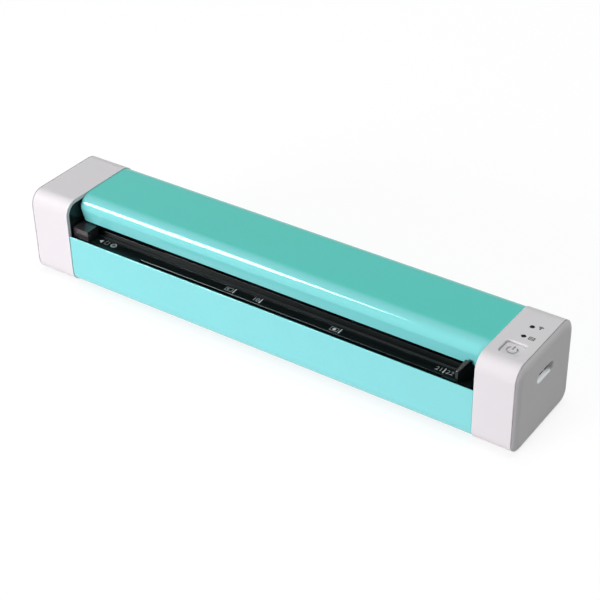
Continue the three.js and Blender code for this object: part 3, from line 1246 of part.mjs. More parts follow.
function pinchShafts() {
  const ends = [UPPER_GUIDE_LEFT + GAP, UPPER_GUIDE_RIGHT - GAP];
  const sizes = { shaftRadius: PINCH_SHAFT_RADIUS, ends, radius: PINCH_RADIUS, length: PINCH_LENGTH };
  const z = PINCH_AXIS_HEIGHT;
  return [
    ...rollerSet('front_pinch', { ...sizes, y: behindFront(FEED_AXIS_DEPTH), z }, MATERIALS.backing),
    ...rollerSet('rear_pinch', { ...sizes, y: behindFront(EXIT_AXIS_DEPTH), z }, MATERIALS.backing),
  ];
}

const housing = new THREE.Group();
housing.add(leftEndCap(), rightEndCap(), lowerCover(), ...feet(), ...screws());

const frame = new THREE.Group();
frame.add(leftSidePlate(), rightSidePlate(), chassis(), ...hingePins());

const paperPath = new THREE.Group();
paperPath.add(feedTray(), exitGuide(), fixedGuide(), slidingGuide(), sensorLever(), ...driveShafts());

const lid = new THREE.Group();
lid.add(topCover(), upperGuide(), backingPlate(), ...pinchSprings(), ...pinchShafts());

const drive = new THREE.Group();
drive.add(...gears(), motor(), motorBracket());

const electronics = new THREE.Group();
electronics.add(...imageSensor(), mainBoard(), battery(), sideBoard(), usbSocket(), tactSwitch());
electronics.add(powerButton(), ...lightPipes());

const scanner = new THREE.Group();
scanner.add(housing, frame, paperPath, lid, drive, electronics);
scanner.position.z = FOOT_STAND;

const object = new THREE.Group();
object.add(scanner);

export default object;
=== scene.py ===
"""Looks of the portable sheetfed scanner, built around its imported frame."""
import json
import math

import bmesh
import bpy
from mathutils import Matrix, Vector


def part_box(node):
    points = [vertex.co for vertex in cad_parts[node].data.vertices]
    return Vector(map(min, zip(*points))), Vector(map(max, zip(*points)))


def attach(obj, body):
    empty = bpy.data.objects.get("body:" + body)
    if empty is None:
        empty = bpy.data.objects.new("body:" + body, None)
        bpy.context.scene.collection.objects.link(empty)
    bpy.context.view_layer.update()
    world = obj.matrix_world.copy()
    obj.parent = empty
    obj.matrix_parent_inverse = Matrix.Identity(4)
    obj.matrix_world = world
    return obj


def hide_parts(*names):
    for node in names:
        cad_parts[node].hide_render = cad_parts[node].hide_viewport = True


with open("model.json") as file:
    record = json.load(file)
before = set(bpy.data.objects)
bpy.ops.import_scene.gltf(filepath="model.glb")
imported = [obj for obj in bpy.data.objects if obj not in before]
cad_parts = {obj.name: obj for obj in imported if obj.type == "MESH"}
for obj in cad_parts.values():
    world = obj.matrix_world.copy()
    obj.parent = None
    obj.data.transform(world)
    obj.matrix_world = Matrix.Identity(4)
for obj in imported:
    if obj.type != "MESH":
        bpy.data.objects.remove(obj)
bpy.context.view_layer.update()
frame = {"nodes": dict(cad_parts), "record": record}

# Sizes of the part, in millimetres: X along the housing, depths behind its front plane,
# heights above the underside of the end caps
MM = 0.001
LENGTH = 292.7
DEPTH = 55.3
HEIGHT = 48.9
LEFT_CAP = 26.1
RIGHT_CAP = 22.5
FRONT_TOP, REAR_TOP, REAR_LOW, FRONT_LOW = 8.0, 9.1, 7.1, 7.8
CAP_WALL = 2.0
FOOT_STAND = 0.8
GAP = 0.3
INSET = 0.4
LEFT_END, RIGHT_END = -LENGTH / 2, LENGTH / 2
BODY_LEFT = LEFT_END + LEFT_CAP + 0.12
TRAY_LEFT = LEFT_END + LEFT_CAP + GAP
BODY_RIGHT = RIGHT_END - RIGHT_CAP - GAP
PAPER = 0.634 * HEIGHT
SHELF = PAPER - 3.0
BED = PAPER - 0.5
COVER_TOP = HEIGHT - INSET
COVER_WALL = 1.8
LOWER_WALL = 2.4
RIM_RISE, RIM_WALL = 1.4, 0.8
TRAY_WALL = 1.8
HINGE_DEPTH, HINGE_HEIGHT = DEPTH - REAR_TOP, HEIGHT - REAR_TOP

# Top cover's lip: from the flat top a wide arc, a middle one and a tight one, then a leaning face
LIP_SETBACK = 9.0
LIP_RADIUS = 6.0
CROWN_RADIUS, CROWN_TURN = 16.0, 18
CROWN_MORE = CROWN_RADIUS - LIP_RADIUS
NOSE_RADIUS, NOSE_TURN = 4.0, 150
NOSE_LESS = LIP_RADIUS - NOSE_RADIUS
LIP_DROP = CROWN_RADIUS - CROWN_MORE * math.cos(math.radians(CROWN_TURN))
LIP_LEAN_DEGREES = 14
LIP_LEAN = math.radians(LIP_LEAN_DEGREES)
LIP_EDGE = PAPER + 3.7
SKIRT_EDGE = PAPER + 2.5

ARC_STEPS = 18
CIRCLE_STEPS = 40
CORNER_STEPS = 8
# Points nearer than this, in metres, are merged
MERGE_DISTANCE = 1e-7
FLAT = math.radians(0.5)
SMOOTH_BELOW = math.radians(34)
BEVEL_ABOVE = math.radians(40)
# How near, in millimetres, a point is that lies on a crease or on a line
CREASE_REACH, LINE_REACH = 0.002, 0.03


def front(depth):
    """Y of a place this far behind the front plane."""
    return depth - DEPTH / 2


def at(x, y, z):
    """Place in Blender's metres, with the part standing on its feet."""
    return Vector((x, y, z + FOOT_STAND)) * MM


def arc(y, z, radius, start, end, steps=ARC_STEPS):
    """Points of an arc from one angle to another, in degrees."""
    points = []
    for i in range(steps + 1):
        a = math.radians(start + (end - start) * i / steps)
        points.append((y + radius * math.cos(a), z + radius * math.sin(a)))
    return points


# ---- Meshes ----

def link(name, mesh):
    obj = bpy.data.objects.new(name, mesh)
    bpy.context.scene.collection.objects.link(obj)
    return obj


def new_mesh(name, verts, faces):
    mesh = bpy.data.meshes.new(name)
    mesh.from_pydata(verts, [], faces)
    tidy_mesh(mesh)
    return link(name, mesh)


def tidy_mesh(mesh, flat=None):
    """Merges doubled points, melts edges flatter than flat, and drops stored normals."""
    bm = bmesh.new()
    bm.from_mesh(mesh)
    bmesh.ops.remove_doubles(bm, verts=bm.verts, dist=MERGE_DISTANCE)
    if flat is not None:
        bmesh.ops.dissolve_limit(bm, angle_limit=flat, verts=bm.verts, edges=bm.edges)
    bmesh.ops.recalc_face_normals(bm, faces=bm.faces)
    bm.to_mesh(mesh)
    bm.free()
    if "custom_normal" in mesh.attributes:
        mesh.attributes.remove(mesh.attributes["custom_normal"])


def loft(name, rings):
    """Closed mesh through rings of equally many points, closed with a face at each end."""
    count = len(rings[0])
    verts = [at(*p) for ring in rings for p in ring]
    faces = []
    for r in range(len(rings) - 1):
        for i in range(count):
            a, b = r * count + i, r * count + (i + 1) % count
            faces.append((a, b, b + count, a + count))
    faces.append(tuple(range(count)))
    faces.append(tuple(range((len(rings) - 1) * count, len(rings) * count)))
    return new_mesh(name, verts, faces)


def prism_x(name, outline, x0, x1):
    return loft(name, [[(x, y, z) for y, z in outline] for x in (x0, x1)])


def stack_z(name, rings):
    """Loft of (height, outline in X and Y) pairs."""
    return loft(name, [[(x, y, z) for x, y in outline] for z, outline in rings])


def ring_points(x, y, radius, angles):
    return [(x + radius * math.cos(a), y + radius * math.sin(a)) for a in angles]


def circle(x, y, radius, steps=CIRCLE_STEPS):
    return ring_points(x, y, radius, [2 * math.pi * i / steps for i in range(steps)])


def band(x, y, inner, outer, angles):
    """Part of a flat ring between two radii."""
    return ring_points(x, y, outer, angles) + ring_points(x, y, inner, angles[::-1])


def rod_z(name, x, y, radius, z0, z1):
    return stack_z(name, [(z0, circle(x, y, radius)), (z1, circle(x, y, radius))])


def box(name, xs, ys, zs):
    outline = [(ys[0], zs[0]), (ys[1], zs[0]), (ys[1], zs[1]), (ys[0], zs[1])]
    return prism_x(name, outline, *xs)


def combine(obj, tools, operation="DIFFERENCE"):
    """Cuts tools out of obj, or joins them to it, and drops the tools."""
    for tool in tools:
        modifier = obj.modifiers.new("tool", "BOOLEAN")
        modifier.object = tool
        modifier.operation = operation
        modifier.solver = "EXACT"
        bake(obj)
        bpy.data.objects.remove(tool)
    return obj


def bake(obj):
    """Applies the modifiers."""
    bpy.context.view_layer.update()
    evaluated = obj.evaluated_get(bpy.context.evaluated_depsgraph_get())
    mesh = bpy.data.meshes.new_from_object(evaluated)
    obj.modifiers.clear()
    obj.data = mesh


def bevel(obj, width):
    """Rounds the sharp edges."""
    modifier = obj.modifiers.new("edges", "BEVEL")
    modifier.width = width * MM
    modifier.segments = 2
    modifier.limit_method = "ANGLE"
    modifier.angle_limit = BEVEL_ABOVE
    modifier.use_clamp_overlap = True
    bake(obj)
    return obj


def dress(obj, finish, body, nodes=(), crease=None):
    """Smooths obj, gives it its finish and sets it on its body in place of the nodes.

    Edges that lie at the crease's X stay sharp.
    """
    mesh = obj.data
    mesh.shade_smooth()
    mesh.set_sharp_from_angle(angle=SMOOTH_BELOW)
    if crease is not None:
        for edge in mesh.edges:
            ends = [mesh.vertices[v].co.x / MM for v in edge.vertices]
            if all(abs(x - crease) < CREASE_REACH for x in ends):
                edge.use_edge_sharp = True
    modifier = obj.modifiers.new("normals", "WEIGHTED_NORMAL")
    modifier.keep_sharp = True
    mesh.materials.clear()
    mesh.materials.append(FINISHES[finish])
    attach(obj, body)
    if nodes:
        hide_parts(*nodes)
    return obj


def copy_of(node_name):
    """Copy of a CAD node's mesh, with its flat faces whole."""
    mesh = frame["nodes"][node_name].data.copy()
    tidy_mesh(mesh, FLAT)
    return link(node_name + "_shown", mesh)


# ---- Materials ----
# Sockets of a colour mix node
MIX_FACTOR, MIX_A, MIX_B, MIX_RESULT = 0, 6, 7, 2
BLOTCH_SCALE = 60.0
GLOSS_SPREAD, LEAST_ROUGHNESS = 0.05, 0.03
# The middle of the noise, in which most of its values lie
NOISE_LOW, NOISE_HIGH = 0.3, 0.7
# Depths between which the painted front light fades in: a lighter, paler colour standing in for
# the light and sheen on the lip
FADE_START, FADE_END = 18.0, 13.5


def node(tree, kind, **values):
    """New shader node; a value goes to the socket of its name, or else to the setting."""
    made = tree.nodes.new(kind)
    for key, value in values.items():
        if key in made.inputs:
            made.inputs[key].default_value = value
        else:
            setattr(made, key, value)
    return made


def fade_in_painted_front_light(tree, place, colour, painted_front_light):
    """Colour that turns lighter and paler towards the front of the part: painted light, standing
    in for the stronger light and sheen on the front-facing lip.
    """
    depth_of = node(tree, "ShaderNodeSeparateXYZ")
    lighter = node(tree, "ShaderNodeMapRange", interpolation_type="SMOOTHSTEP")
    lighter.inputs["From Min"].default_value = front(FADE_START) * MM
    lighter.inputs["From Max"].default_value = front(FADE_END) * MM
    faded = node(tree, "ShaderNodeMix", data_type="RGBA")
    faded.inputs[MIX_B].default_value = (*painted_front_light, 1)
    tree.links.new(place.outputs["Object"], depth_of.inputs[0])
    tree.links.new(depth_of.outputs["Y"], lighter.inputs["Value"])
    tree.links.new(lighter.outputs["Result"], faded.inputs[MIX_FACTOR])
    tree.links.new(colour, faded.inputs[MIX_A])
    return faded.outputs[MIX_RESULT]


def plastic(name, colour, roughness, spread=0.03, grain=1600.0, depth=0.02, coat=0.0,
            coat_roughness=0.06, metallic=0.0, specular=0.5, painted_front_light=None):
    """Moulded surface: a base colour that varies a little, a grain, and an uneven gloss. A front
    tint, where given, is painted light: the colour turns lighter and paler towards the front.
    """
    material = bpy.data.materials.new(name)
    material.use_nodes = True
    tree = material.node_tree
    shader = tree.nodes["Principled BSDF"]
    shader.inputs["Metallic"].default_value = metallic
    shader.inputs["Specular IOR Level"].default_value = specular
    shader.inputs["Coat Weight"].default_value = coat
    shader.inputs["Coat Roughness"].default_value = coat_roughness
    place = node(tree, "ShaderNodeTexCoord")
    patches = node(tree, "ShaderNodeTexNoise", Scale=BLOTCH_SCALE, Detail=3.0, Roughness=0.55)
    fine = node(tree, "ShaderNodeTexNoise", Scale=grain, Detail=2.0, Roughness=0.6)
    for texture in (patches, fine):
        tree.links.new(place.outputs["Object"], texture.inputs["Vector"])
    tint = node(tree, "ShaderNodeMix", data_type="RGBA")
    tint.inputs[MIX_A].default_value = [c * (1 - spread) for c in colour] + [1]
    tint.inputs[MIX_B].default_value = [min(1, c * (1 + spread)) for c in colour] + [1]
    share = node(tree, "ShaderNodeMapRange")
    share.inputs["From Min"].default_value = NOISE_LOW
    share.inputs["From Max"].default_value = NOISE_HIGH
    both = node(tree, "ShaderNodeMath", operation="ADD")
    half = node(tree, "ShaderNodeMath", operation="MULTIPLY")
    half.inputs[1].default_value = 0.5
    tree.links.new(patches.outputs["Fac"], both.inputs[0])
    tree.links.new(fine.outputs["Fac"], both.inputs[1])
    tree.links.new(both.outputs[0], half.inputs[0])
    tree.links.new(half.outputs[0], share.inputs["Value"])
    tree.links.new(share.outputs["Result"], tint.inputs[MIX_FACTOR])
    colour_out = tint.outputs[MIX_RESULT]
    if painted_front_light:
        colour_out = fade_in_painted_front_light(tree, place, colour_out, painted_front_light)
    tree.links.new(colour_out, shader.inputs["Base Color"])
    gloss = node(tree, "ShaderNodeMapRange")
    gloss.inputs["To Min"].default_value = max(LEAST_ROUGHNESS, roughness - GLOSS_SPREAD)
    gloss.inputs["To Max"].default_value = roughness + GLOSS_SPREAD
    tree.links.new(patches.outputs["Fac"], gloss.inputs["Value"])
    tree.links.new(gloss.outputs["Result"], shader.inputs["Roughness"])
    bump = node(tree, "ShaderNodeBump", Strength=1.0, Distance=depth * MM)
    tree.links.new(fine.outputs["Fac"], bump.inputs["Height"])
    tree.links.new(bump.outputs["Normal"], shader.inputs["Normal"])
    return material


FINISHES = {
    # The top cover's turquoise turns lighter and paler towards its lip: painted light for the
    # front lamp and sheen there
    "turquoise": plastic(
        "turquoise_plastic", (0.074, 0.70, 0.61), 0.5, spread=0.02, specular=0.05,
        grain=900, depth=0.002, coat=0.8, coat_roughness=0.025, painted_front_light=(0.22, 0.75, 0.735)),
    # The lower cover is the same turquoise plastic, painted lighter and paler: painted light,
    # standing in for the light and sheen on its front face
    "turquoise_lower": plastic(
        "turquoise_lower_painted_light", (0.255, 0.775, 0.78), 0.5, spread=0.02, specular=0.05,
        grain=900, depth=0.002, coat=0.8, coat_roughness=0.04),
    "white": plastic("white_plastic", (0.83, 0.812, 0.823), 0.5, spread=0.012, specular=0.2,
                     grain=2400, depth=0.012),
    "black": plastic("black_plastic", (0.0075, 0.0115, 0.0115), 0.22, spread=0.25, specular=0.4,
                     grain=3000, depth=0.012),
    # Dark grey plastic of the fixed guide, made lighter and pinker in part as painted sheen,
    # standing in for the light on its front face
    "black_guide": plastic(
        "black_guide_painted_sheen", (0.034, 0.026, 0.029), 0.25, spread=0.35, specular=0.9,
        grain=3000, depth=0.012),
    "rubber": plastic("black_rubber", (0.022, 0.022, 0.023), 0.8, spread=0.2,
                      grain=2200, depth=0.03),
    "grey": plastic("grey_plastic", (0.16, 0.17, 0.18), 0.55, spread=0.05),
    "steel": plastic("plain_steel", (0.48, 0.49, 0.50), 0.3, spread=0.06, metallic=1.0,
                     grain=2600, depth=0.006),
    "gear": plastic("gear_plastic", (0.80, 0.79, 0.72), 0.4, spread=0.03, depth=0.006),
    "board": plastic("circuit_board", (0.012, 0.14, 0.06), 0.4, spread=0.2, grain=700),
    "battery": plastic("battery_wrap", (0.04, 0.07, 0.19), 0.45, spread=0.08),
    "glass": plastic("sensor_glass", (0.35, 0.42, 0.43), 0.08, spread=0.02, depth=0.001),
    "backing": plastic("white_sheet", (0.85, 0.85, 0.84), 0.5, spread=0.02),
    "lens": plastic("dark_lens", (0.004, 0.004, 0.005), 0.5, spread=0.2, depth=0.001,
                    specular=0.15),
    "print": plastic("pale_print", (0.88, 0.88, 0.88), 0.6, spread=0.15, grain=5000),
    "soft_print": plastic("grey_print", (0.40, 0.41, 0.41), 0.6, spread=0.15, grain=5000),
    "bright_steel": plastic("bright_steel", (0.70, 0.73, 0.73), 0.4, spread=0.04, metallic=1.0,
                            grain=2600, depth=0.004),
    "dark_print": plastic("dark_print", (0.015, 0.015, 0.015), 0.6, spread=0.15, grain=5000),
}
# Finishes that aren't named like their slot
NODE_SLOT = {part["node"]: part["material_slot"] for part in frame["record"]["subparts"]}
for name, obj in frame["nodes"].items():
    obj.data.materials.clear()
    obj.data.materials.append(FINISHES[NODE_SLOT[name]])
    for polygon in obj.data.polygons:
        polygon.material_index = 0


# ---- End caps ----
# A cap's end is a flat face, a rounding, a groove at the crease, and a small shoulder
END_RADIUS = 7.2
END_START = math.radians(49.8)
END_STEPS = 12
CREASE = END_RADIUS * (1 - math.sin(END_START))
SHOULDER_RADIUS = 0.9
SHOULDER_TURN = math.radians(24)
SHOULDER_STEPS = 5
SHOULDER_DRAWN = SHOULDER_RADIUS * (1 - math.cos(SHOULDER_TURN))
GROOVE_WIDE, GROOVE_DEEP, GROOVE_LEAN = 0.5, 1.1, 0.01
EDGE_ROUND, EDGE_STEPS = 0.15, 3
# Inside corner at the end: distance from the end, and distance drawn in from the wall
INSIDE_CORNER = ((3.2, 0), (2.4, 0.7), (2.0, 1.6))


def housing_outline(inset):
    """Section of the housing with its four rounded long edges, drawn in."""
    y0, y1, z0, z1 = front(inset), front(DEPTH - inset), inset, HEIGHT - inset
    ft, rt, rl, fl = [r - inset for r in (FRONT_TOP, REAR_TOP, REAR_LOW, FRONT_LOW)]
    return [*arc(y0 + fl, z0 + fl, fl, 180, 270), *arc(y1 - rl, z0 + rl, rl, 270, 360),
            *arc(y1 - rt, z1 - rt, rt, 0, 90), *arc(y0 + ft, z1 - ft, ft, 90, 180)]


def cap_profile(length):
    """(distance from the end, distance drawn in) from the flat end to the mouth and inside."""
    points = []
    for i in range(END_STEPS + 1):
        a = math.pi / 2 - (math.pi / 2 - END_START) * i / END_STEPS
        drawn = SHOULDER_DRAWN + END_RADIUS * (math.cos(END_START) - math.cos(a))
        points.append((END_RADIUS * (1 - math.sin(a)), drawn))
    groove = SHOULDER_DRAWN + GROOVE_DEEP
    points += [(CREASE + GROOVE_LEAN, groove), (CREASE + GROOVE_WIDE, groove)]
    for i in range(SHOULDER_STEPS + 1):
        a = SHOULDER_TURN * (1 - i / SHOULDER_STEPS)
        away = CREASE + GROOVE_WIDE + SHOULDER_RADIUS * (math.sin(SHOULDER_TURN) - math.sin(a))
        points.append((away, SHOULDER_RADIUS * (1 - math.cos(a))))
    for i in range(EDGE_STEPS + 1):
        a = math.pi / 2 * i / EDGE_STEPS
        points.append((length - EDGE_ROUND * (1 - math.sin(a)), EDGE_ROUND * (1 - math.cos(a))))
    points.append((length, CAP_WALL))
    return points + [(away, CAP_WALL + drawn) for away, drawn in INSIDE_CORNER]


def end_cap(name, end, length):
    """Hollow cap, from its flat end round the mouth to the inside."""
    side = 1 if end > 0 else -1
    rings = []
    for away, drawn in cap_profile(length):
        x = end - side * away
        rings.append([(x, y, z) for y, z in housing_outline(drawn)])
    return loft(name, rings)


left_cap = end_cap("left_end_cap_shown", LEFT_END, LEFT_CAP)
dress(left_cap, "white", "housing", ["left_end_cap"], crease=LEFT_END + CREASE)


def rounded_square(x, y, size, corner):
    reach = size / 2 - corner
    corners = [(1, 1, 0), (-1, 1, 90), (-1, -1, 180), (1, -1, 270)]
    return [p for i, j, start in corners
            for p in arc(x + i * reach, y + j * reach, corner, start, start + 90, CORNER_STEPS)]


BUTTON_X, BUTTON_Y = RIGHT_END - 12, front(15.5)
BUTTON_SIZE, BUTTON_CORNER = 10.2, 1.6
PIPE_X = RIGHT_END - 12.2
PIPE_PLACES = (26.6, 35.2)
PIPE_RADIUS, PIPE_TOP_RADIUS, PIPE_HOLE = 1.2, 1.1, 1.25
PORT_Z = 0.675 * HEIGHT
PORT_PLACE, PORT_LENGTH, PORT_HEIGHT = 26.85, 16.1, 5.6
# Collar, bar, plate and plug of the port, the plate a dark sheet that stands in for the shade deep
# inside; START, END and FLOOR are distances from the end
COLLAR_WALL, COLLAR_START, PORT_FLOOR = 1.2, 1.4, 3.2
BAR_PLACE, BAR_WIDTH, BAR_START, BAR_OVER = 29.6, 1.2, 2.3, 0.6
PLATE_START, PLATE_END = 2.7, 3.15
PLUG_PLACE, PLUG_LENGTH, PLUG_HEIGHT = 24.2, 8.8, 3.4
# Rounded mouths of the openings: distance inside the face, and distance widened
PORT_MOUTH = ((-5, 0), (-0.45, 0), (-0.2, 0.06), (-0.05, 0.22), (0.001, 0.45), (1, 0.46))
WELL_MOUTH = ((-4, 0), (-0.5, 0), (-0.22, 0.09), (-0.06, 0.26), (0.001, 0.55), (1, 0.56))
PIPE_MOUTH = ((-4, 0), (-0.12, 0), (0.001, 0.12), (1, 0.13))


def port_outline(margin):
    radius = PORT_HEIGHT / 2 + margin
    reach = (PORT_LENGTH - PORT_HEIGHT) / 2
    y = front(PORT_PLACE)
    return [*arc(y + reach, PORT_Z, radius, -90, 90), *arc(y - reach, PORT_Z, radius, 90, 270)]


def port_tool():
    return loft("tool", [[(RIGHT_END + away, y, z) for y, z in port_outline(margin)]
                         for away, margin in PORT_MOUTH])


def well_tool():
    return stack_z("tool", [
        (HEIGHT + away, rounded_square(BUTTON_X, BUTTON_Y, BUTTON_SIZE + 2 * m, BUTTON_CORNER + m))
        for away, m in WELL_MOUTH])


def pipe_tool(place):
    return stack_z("tool", [(HEIGHT + away, circle(PIPE_X, front(place), PIPE_HOLE + m))
                            for away, m in PIPE_MOUTH])


def port_lip():
    """Lower lip of the port, rising inward."""
    run, rise, start, over = 2.2, 1.1, 0.25, 0.1
    low = PORT_Z - PORT_HEIGHT / 2 - over
    obj = prism_x("port_lip", port_outline(-0.02), RIGHT_END - run, RIGHT_END - start)
    y0, y1 = front(PORT_PLACE) - PORT_LENGTH, front(PORT_PLACE) + PORT_LENGTH
    section = [(RIGHT_END, low - 1), (RIGHT_END, low + over),
               (RIGHT_END - run - over, low + rise + over), (RIGHT_END - run - over, low - 1)]
    wedge = loft("wedge", [[(x, y, z) for x, z in section] for y in (y0, y1)])
    return combine(obj, [wedge], "INTERSECT")


def port_shade_plate():
    """Dark plate round the socket: painted shade, darkening the deep inside of the port."""
    obj = prism_x("port_shade_plate", port_outline(-0.05), RIGHT_END - PLATE_END, RIGHT_END - PLATE_START)
    y = front(PLUG_PLACE)
    plug = box("tool", (RIGHT_END - 4, RIGHT_END - 2),
               (y - PLUG_LENGTH / 2, y + PLUG_LENGTH / 2),
               (PORT_Z - PLUG_HEIGHT / 2, PORT_Z + PLUG_HEIGHT / 2))
    return combine(obj, [plug])


def right_cap():
    """Cap with the button's well, the lights' holes, and the port with its collar and bar."""
    obj = end_cap("right_end_cap_shown", RIGHT_END, RIGHT_CAP)
    collar = prism_x("tool", port_outline(COLLAR_WALL), RIGHT_END - PORT_FLOOR,
                     RIGHT_END - COLLAR_START)
    combine(obj, [collar], "UNION")
    combine(obj, [port_tool(), well_tool(), *[pipe_tool(p) for p in PIPE_PLACES]])
    y, reach = front(BAR_PLACE), PORT_HEIGHT / 2
    bar = box("tool", (RIGHT_END - PORT_FLOOR, RIGHT_END - BAR_START),
              (y - BAR_WIDTH / 2, y + BAR_WIDTH / 2),
              (PORT_Z - reach - BAR_OVER, PORT_Z + reach + BAR_OVER))
    return combine(obj, [bar], "UNION")


dress(right_cap(), "white", "housing", ["right_end_cap"], crease=RIGHT_END - CREASE)
# The dark plate is painted shade inside the port
dress(port_shade_plate(), "black", "housing")
dress(port_lip(), "bright_steel", "housing")


# ---- Lower cover ----
LOWER_EDGE, RIM_EDGE = 0.5, 0.15
LOWER_END_ROUND = 0.3
BOSS_RADIUS, BOSS_ALONG, BOSS_PLACE = 4, 19, 10.5
BOSS_LOW, BOSS_DROP = 1.2, 3.6
RECESS_RADIUS, RECESS_DEEP = 4.8, 1.0
SCREW_HEAD_RADIUS, SCREW_HEAD_TOP, SCREW_RADIUS = 2.7, 3.4, 1.5


def lower_outline(drawn):
    """Section of the lower cover, its outer face drawn in."""
    y0, y1 = front(INSET + drawn), front(DEPTH - INSET - drawn)
    fl, rl = FRONT_LOW - INSET, REAR_LOW - INSET
    fc = (front(INSET) + fl, INSET + fl)
    rc = (front(DEPTH - INSET) - rl, INSET + rl)
    edge, rim, ledge = LOWER_EDGE, SHELF + RIM_RISE - drawn, SHELF - TRAY_WALL - GAP
    return [*arc(y0 + edge, rim - edge, edge, 90, 180, 8),
            *arc(*fc, fl - drawn, 180, 270), *arc(*rc, rl - drawn, 270, 360),
            *arc(y1 - edge, SHELF - drawn - edge, edge, 0, 90, 4),
            (front(DEPTH - INSET - LOWER_WALL), SHELF - drawn),
            *arc(*rc, rl - LOWER_WALL, 360, 270), *arc(*fc, fl - LOWER_WALL, 270, 180),
            (front(INSET + LOWER_WALL), ledge), (front(INSET + RIM_WALL), ledge),
            (front(INSET + RIM_WALL), rim - RIM_EDGE), (front(INSET + RIM_WALL - RIM_EDGE), rim)]


def lower_cover():
    """Open trough with the screw bosses, and the recesses and holes below them."""
    rings = []
    for x, side in ((BODY_LEFT, 1), (BODY_RIGHT, -1)):
        row = []
        for i in range(EDGE_STEPS + 1):
            a = math.pi / 2 * i / EDGE_STEPS
            row.append((x + side * LOWER_END_ROUND * (1 - math.cos(a)),
                        LOWER_END_ROUND * (1 - math.sin(a))))
        rings += row if side > 0 else row[::-1]
    obj = loft("lower_cover_shown", [[(x, y, z) for y, z in lower_outline(d)] for x, d in rings])
    boss_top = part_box("chassis_screw_1")[1].z / MM - BOSS_DROP
    bosses, seats = [], []
    for x in (TRAY_LEFT + BOSS_ALONG, BODY_RIGHT - BOSS_ALONG):
        for depth in (BOSS_PLACE, DEPTH - BOSS_PLACE):
            y = front(depth)
            bosses.append(rod_z("tool", x, y, BOSS_RADIUS, INSET + BOSS_LOW, boss_top))
            seats.append(rod_z("tool", x, y, RECESS_RADIUS, -1, INSET + RECESS_DEEP))
            seats.append(rod_z("tool", x, y, SCREW_HEAD_RADIUS, 0, INSET + SCREW_HEAD_TOP))
            seats.append(rod_z("tool", x, y, SCREW_RADIUS, 0, HEIGHT))
    combine(obj, bosses, "UNION")
    return combine(obj, seats)


dress(lower_cover(), "turquoise_lower", "housing", ["lower_cover"])


# ---- Top cover ----
LIP_END = 3.6
LIP_CORNER = 3.6
LIP_EDGE_ROUND = 0.7
LIP_EDGE_WALL = 1.8
HINGE_HOLE, HINGE_STEPS = 1.8, 32


def lip_face(height, wall=0.0):
    """Y of the lip's leaning face at a height, or of the inner side of its wall."""
    radius = NOSE_RADIUS - wall
    turn = math.radians(NOSE_TURN)
    start = COVER_TOP - LIP_DROP + NOSE_LESS * math.sin(turn) - radius * math.sin(LIP_LEAN)
    y = front(LIP_SETBACK + LIP_RADIUS) + NOSE_LESS * math.cos(turn) - radius * math.cos(LIP_LEAN)
    return y + (start - height) * math.tan(LIP_LEAN)


def lip_arcs(back, inward):
    """From the flat top forward and down to the lip's face, on ever tighter arcs."""
    low = (front(LIP_SETBACK + LIP_RADIUS) + back, COVER_TOP - LIP_DROP)
    crown = math.radians(CROWN_TURN)
    high = (low[0] + CROWN_MORE * math.sin(crown), COVER_TOP - CROWN_RADIUS)
    turn = math.radians(NOSE_TURN)
    nose = (low[0] + NOSE_LESS * math.cos(turn), low[1] + NOSE_LESS * math.sin(turn))
    return [*arc(*high, CROWN_RADIUS - inward, 90, 90 + CROWN_TURN, 8),
            *arc(*low, LIP_RADIUS - inward, 90 + CROWN_TURN, NOSE_TURN, 14)[1:],
            *arc(*nose, NOSE_RADIUS - inward, NOSE_TURN, 180 + LIP_LEAN_DEGREES, 14)[1:]]


def cover_outline(back, lift, drawn):
    """Section of the cover: its front moved back, its lip's edge lifted, its outside drawn in."""
    edge = LIP_EDGE_ROUND
    low = LIP_EDGE + lift
    rear_radius = REAR_TOP - INSET - drawn
    corner = (lip_face(low + edge, drawn) + back + edge / math.cos(LIP_LEAN), low + edge)
    return [*arc(*corner, edge, 180 + LIP_LEAN_DEGREES, 270, 6),
            (lip_face(low, 0) + back + LIP_EDGE_WALL, low),
            (front(DEPTH - INSET - COVER_WALL), SKIRT_EDGE),
            (front(DEPTH - INSET - drawn), SKIRT_EDGE),
            *arc(front(HINGE_DEPTH), HINGE_HEIGHT, rear_radius, 0, 90),
            *lip_arcs(back, drawn)]


def cover_stations():
    """(distance from the end, front moved back, edge lifted, outside drawn in)."""
    rows = []
    steps = 12
    for i in range(steps + 1):
        a = math.pi / 2 * i / steps
        away = LIP_END * (1 - math.cos(a))
        drawn = max(0.0, EDGE_ROUND - away)
        drawn = EDGE_ROUND - math.sqrt(max(0.0, EDGE_ROUND ** 2 - drawn ** 2))
        back = LIP_END * (1 - math.sin(a))
        reach = min(1.0, away / LIP_CORNER)
        lift = LIP_CORNER * (1 - math.sqrt(max(0.0, 1 - (1 - reach) ** 2)))
        rows.append((away, back, lift, drawn))
    return rows


def top_cover():
    """Hollow cover with rounded ends to its lip and a hole for the hinge pins."""
    stations = cover_stations()
    rings = [(BODY_LEFT + away, *rest) for away, *rest in stations]
    rings += [(BODY_RIGHT - away, *rest) for away, *rest in stations[::-1]]
    obj = loft("top_cover_shown",
               [[(x, y, z) for y, z in cover_outline(*rest)] for x, *rest in rings])
    wall = COVER_WALL
    low_lip, low_skirt = LIP_EDGE - 1, SKIRT_EDGE - 1
    hollow = [(lip_face(low_lip, wall), low_lip), (front(DEPTH - INSET - wall), low_skirt),
              *arc(front(HINGE_DEPTH), HINGE_HEIGHT, REAR_TOP - INSET - wall, 0, 90),
              *lip_arcs(0, wall)]
    hinge = circle(front(HINGE_DEPTH), HINGE_HEIGHT, HINGE_HOLE, HINGE_STEPS)
    return combine(obj, [prism_x("tool", hollow, BODY_LEFT + LIP_END, BODY_RIGHT - LIP_END),
                         prism_x("tool", hinge, BODY_LEFT - 1, BODY_RIGHT + 1)])


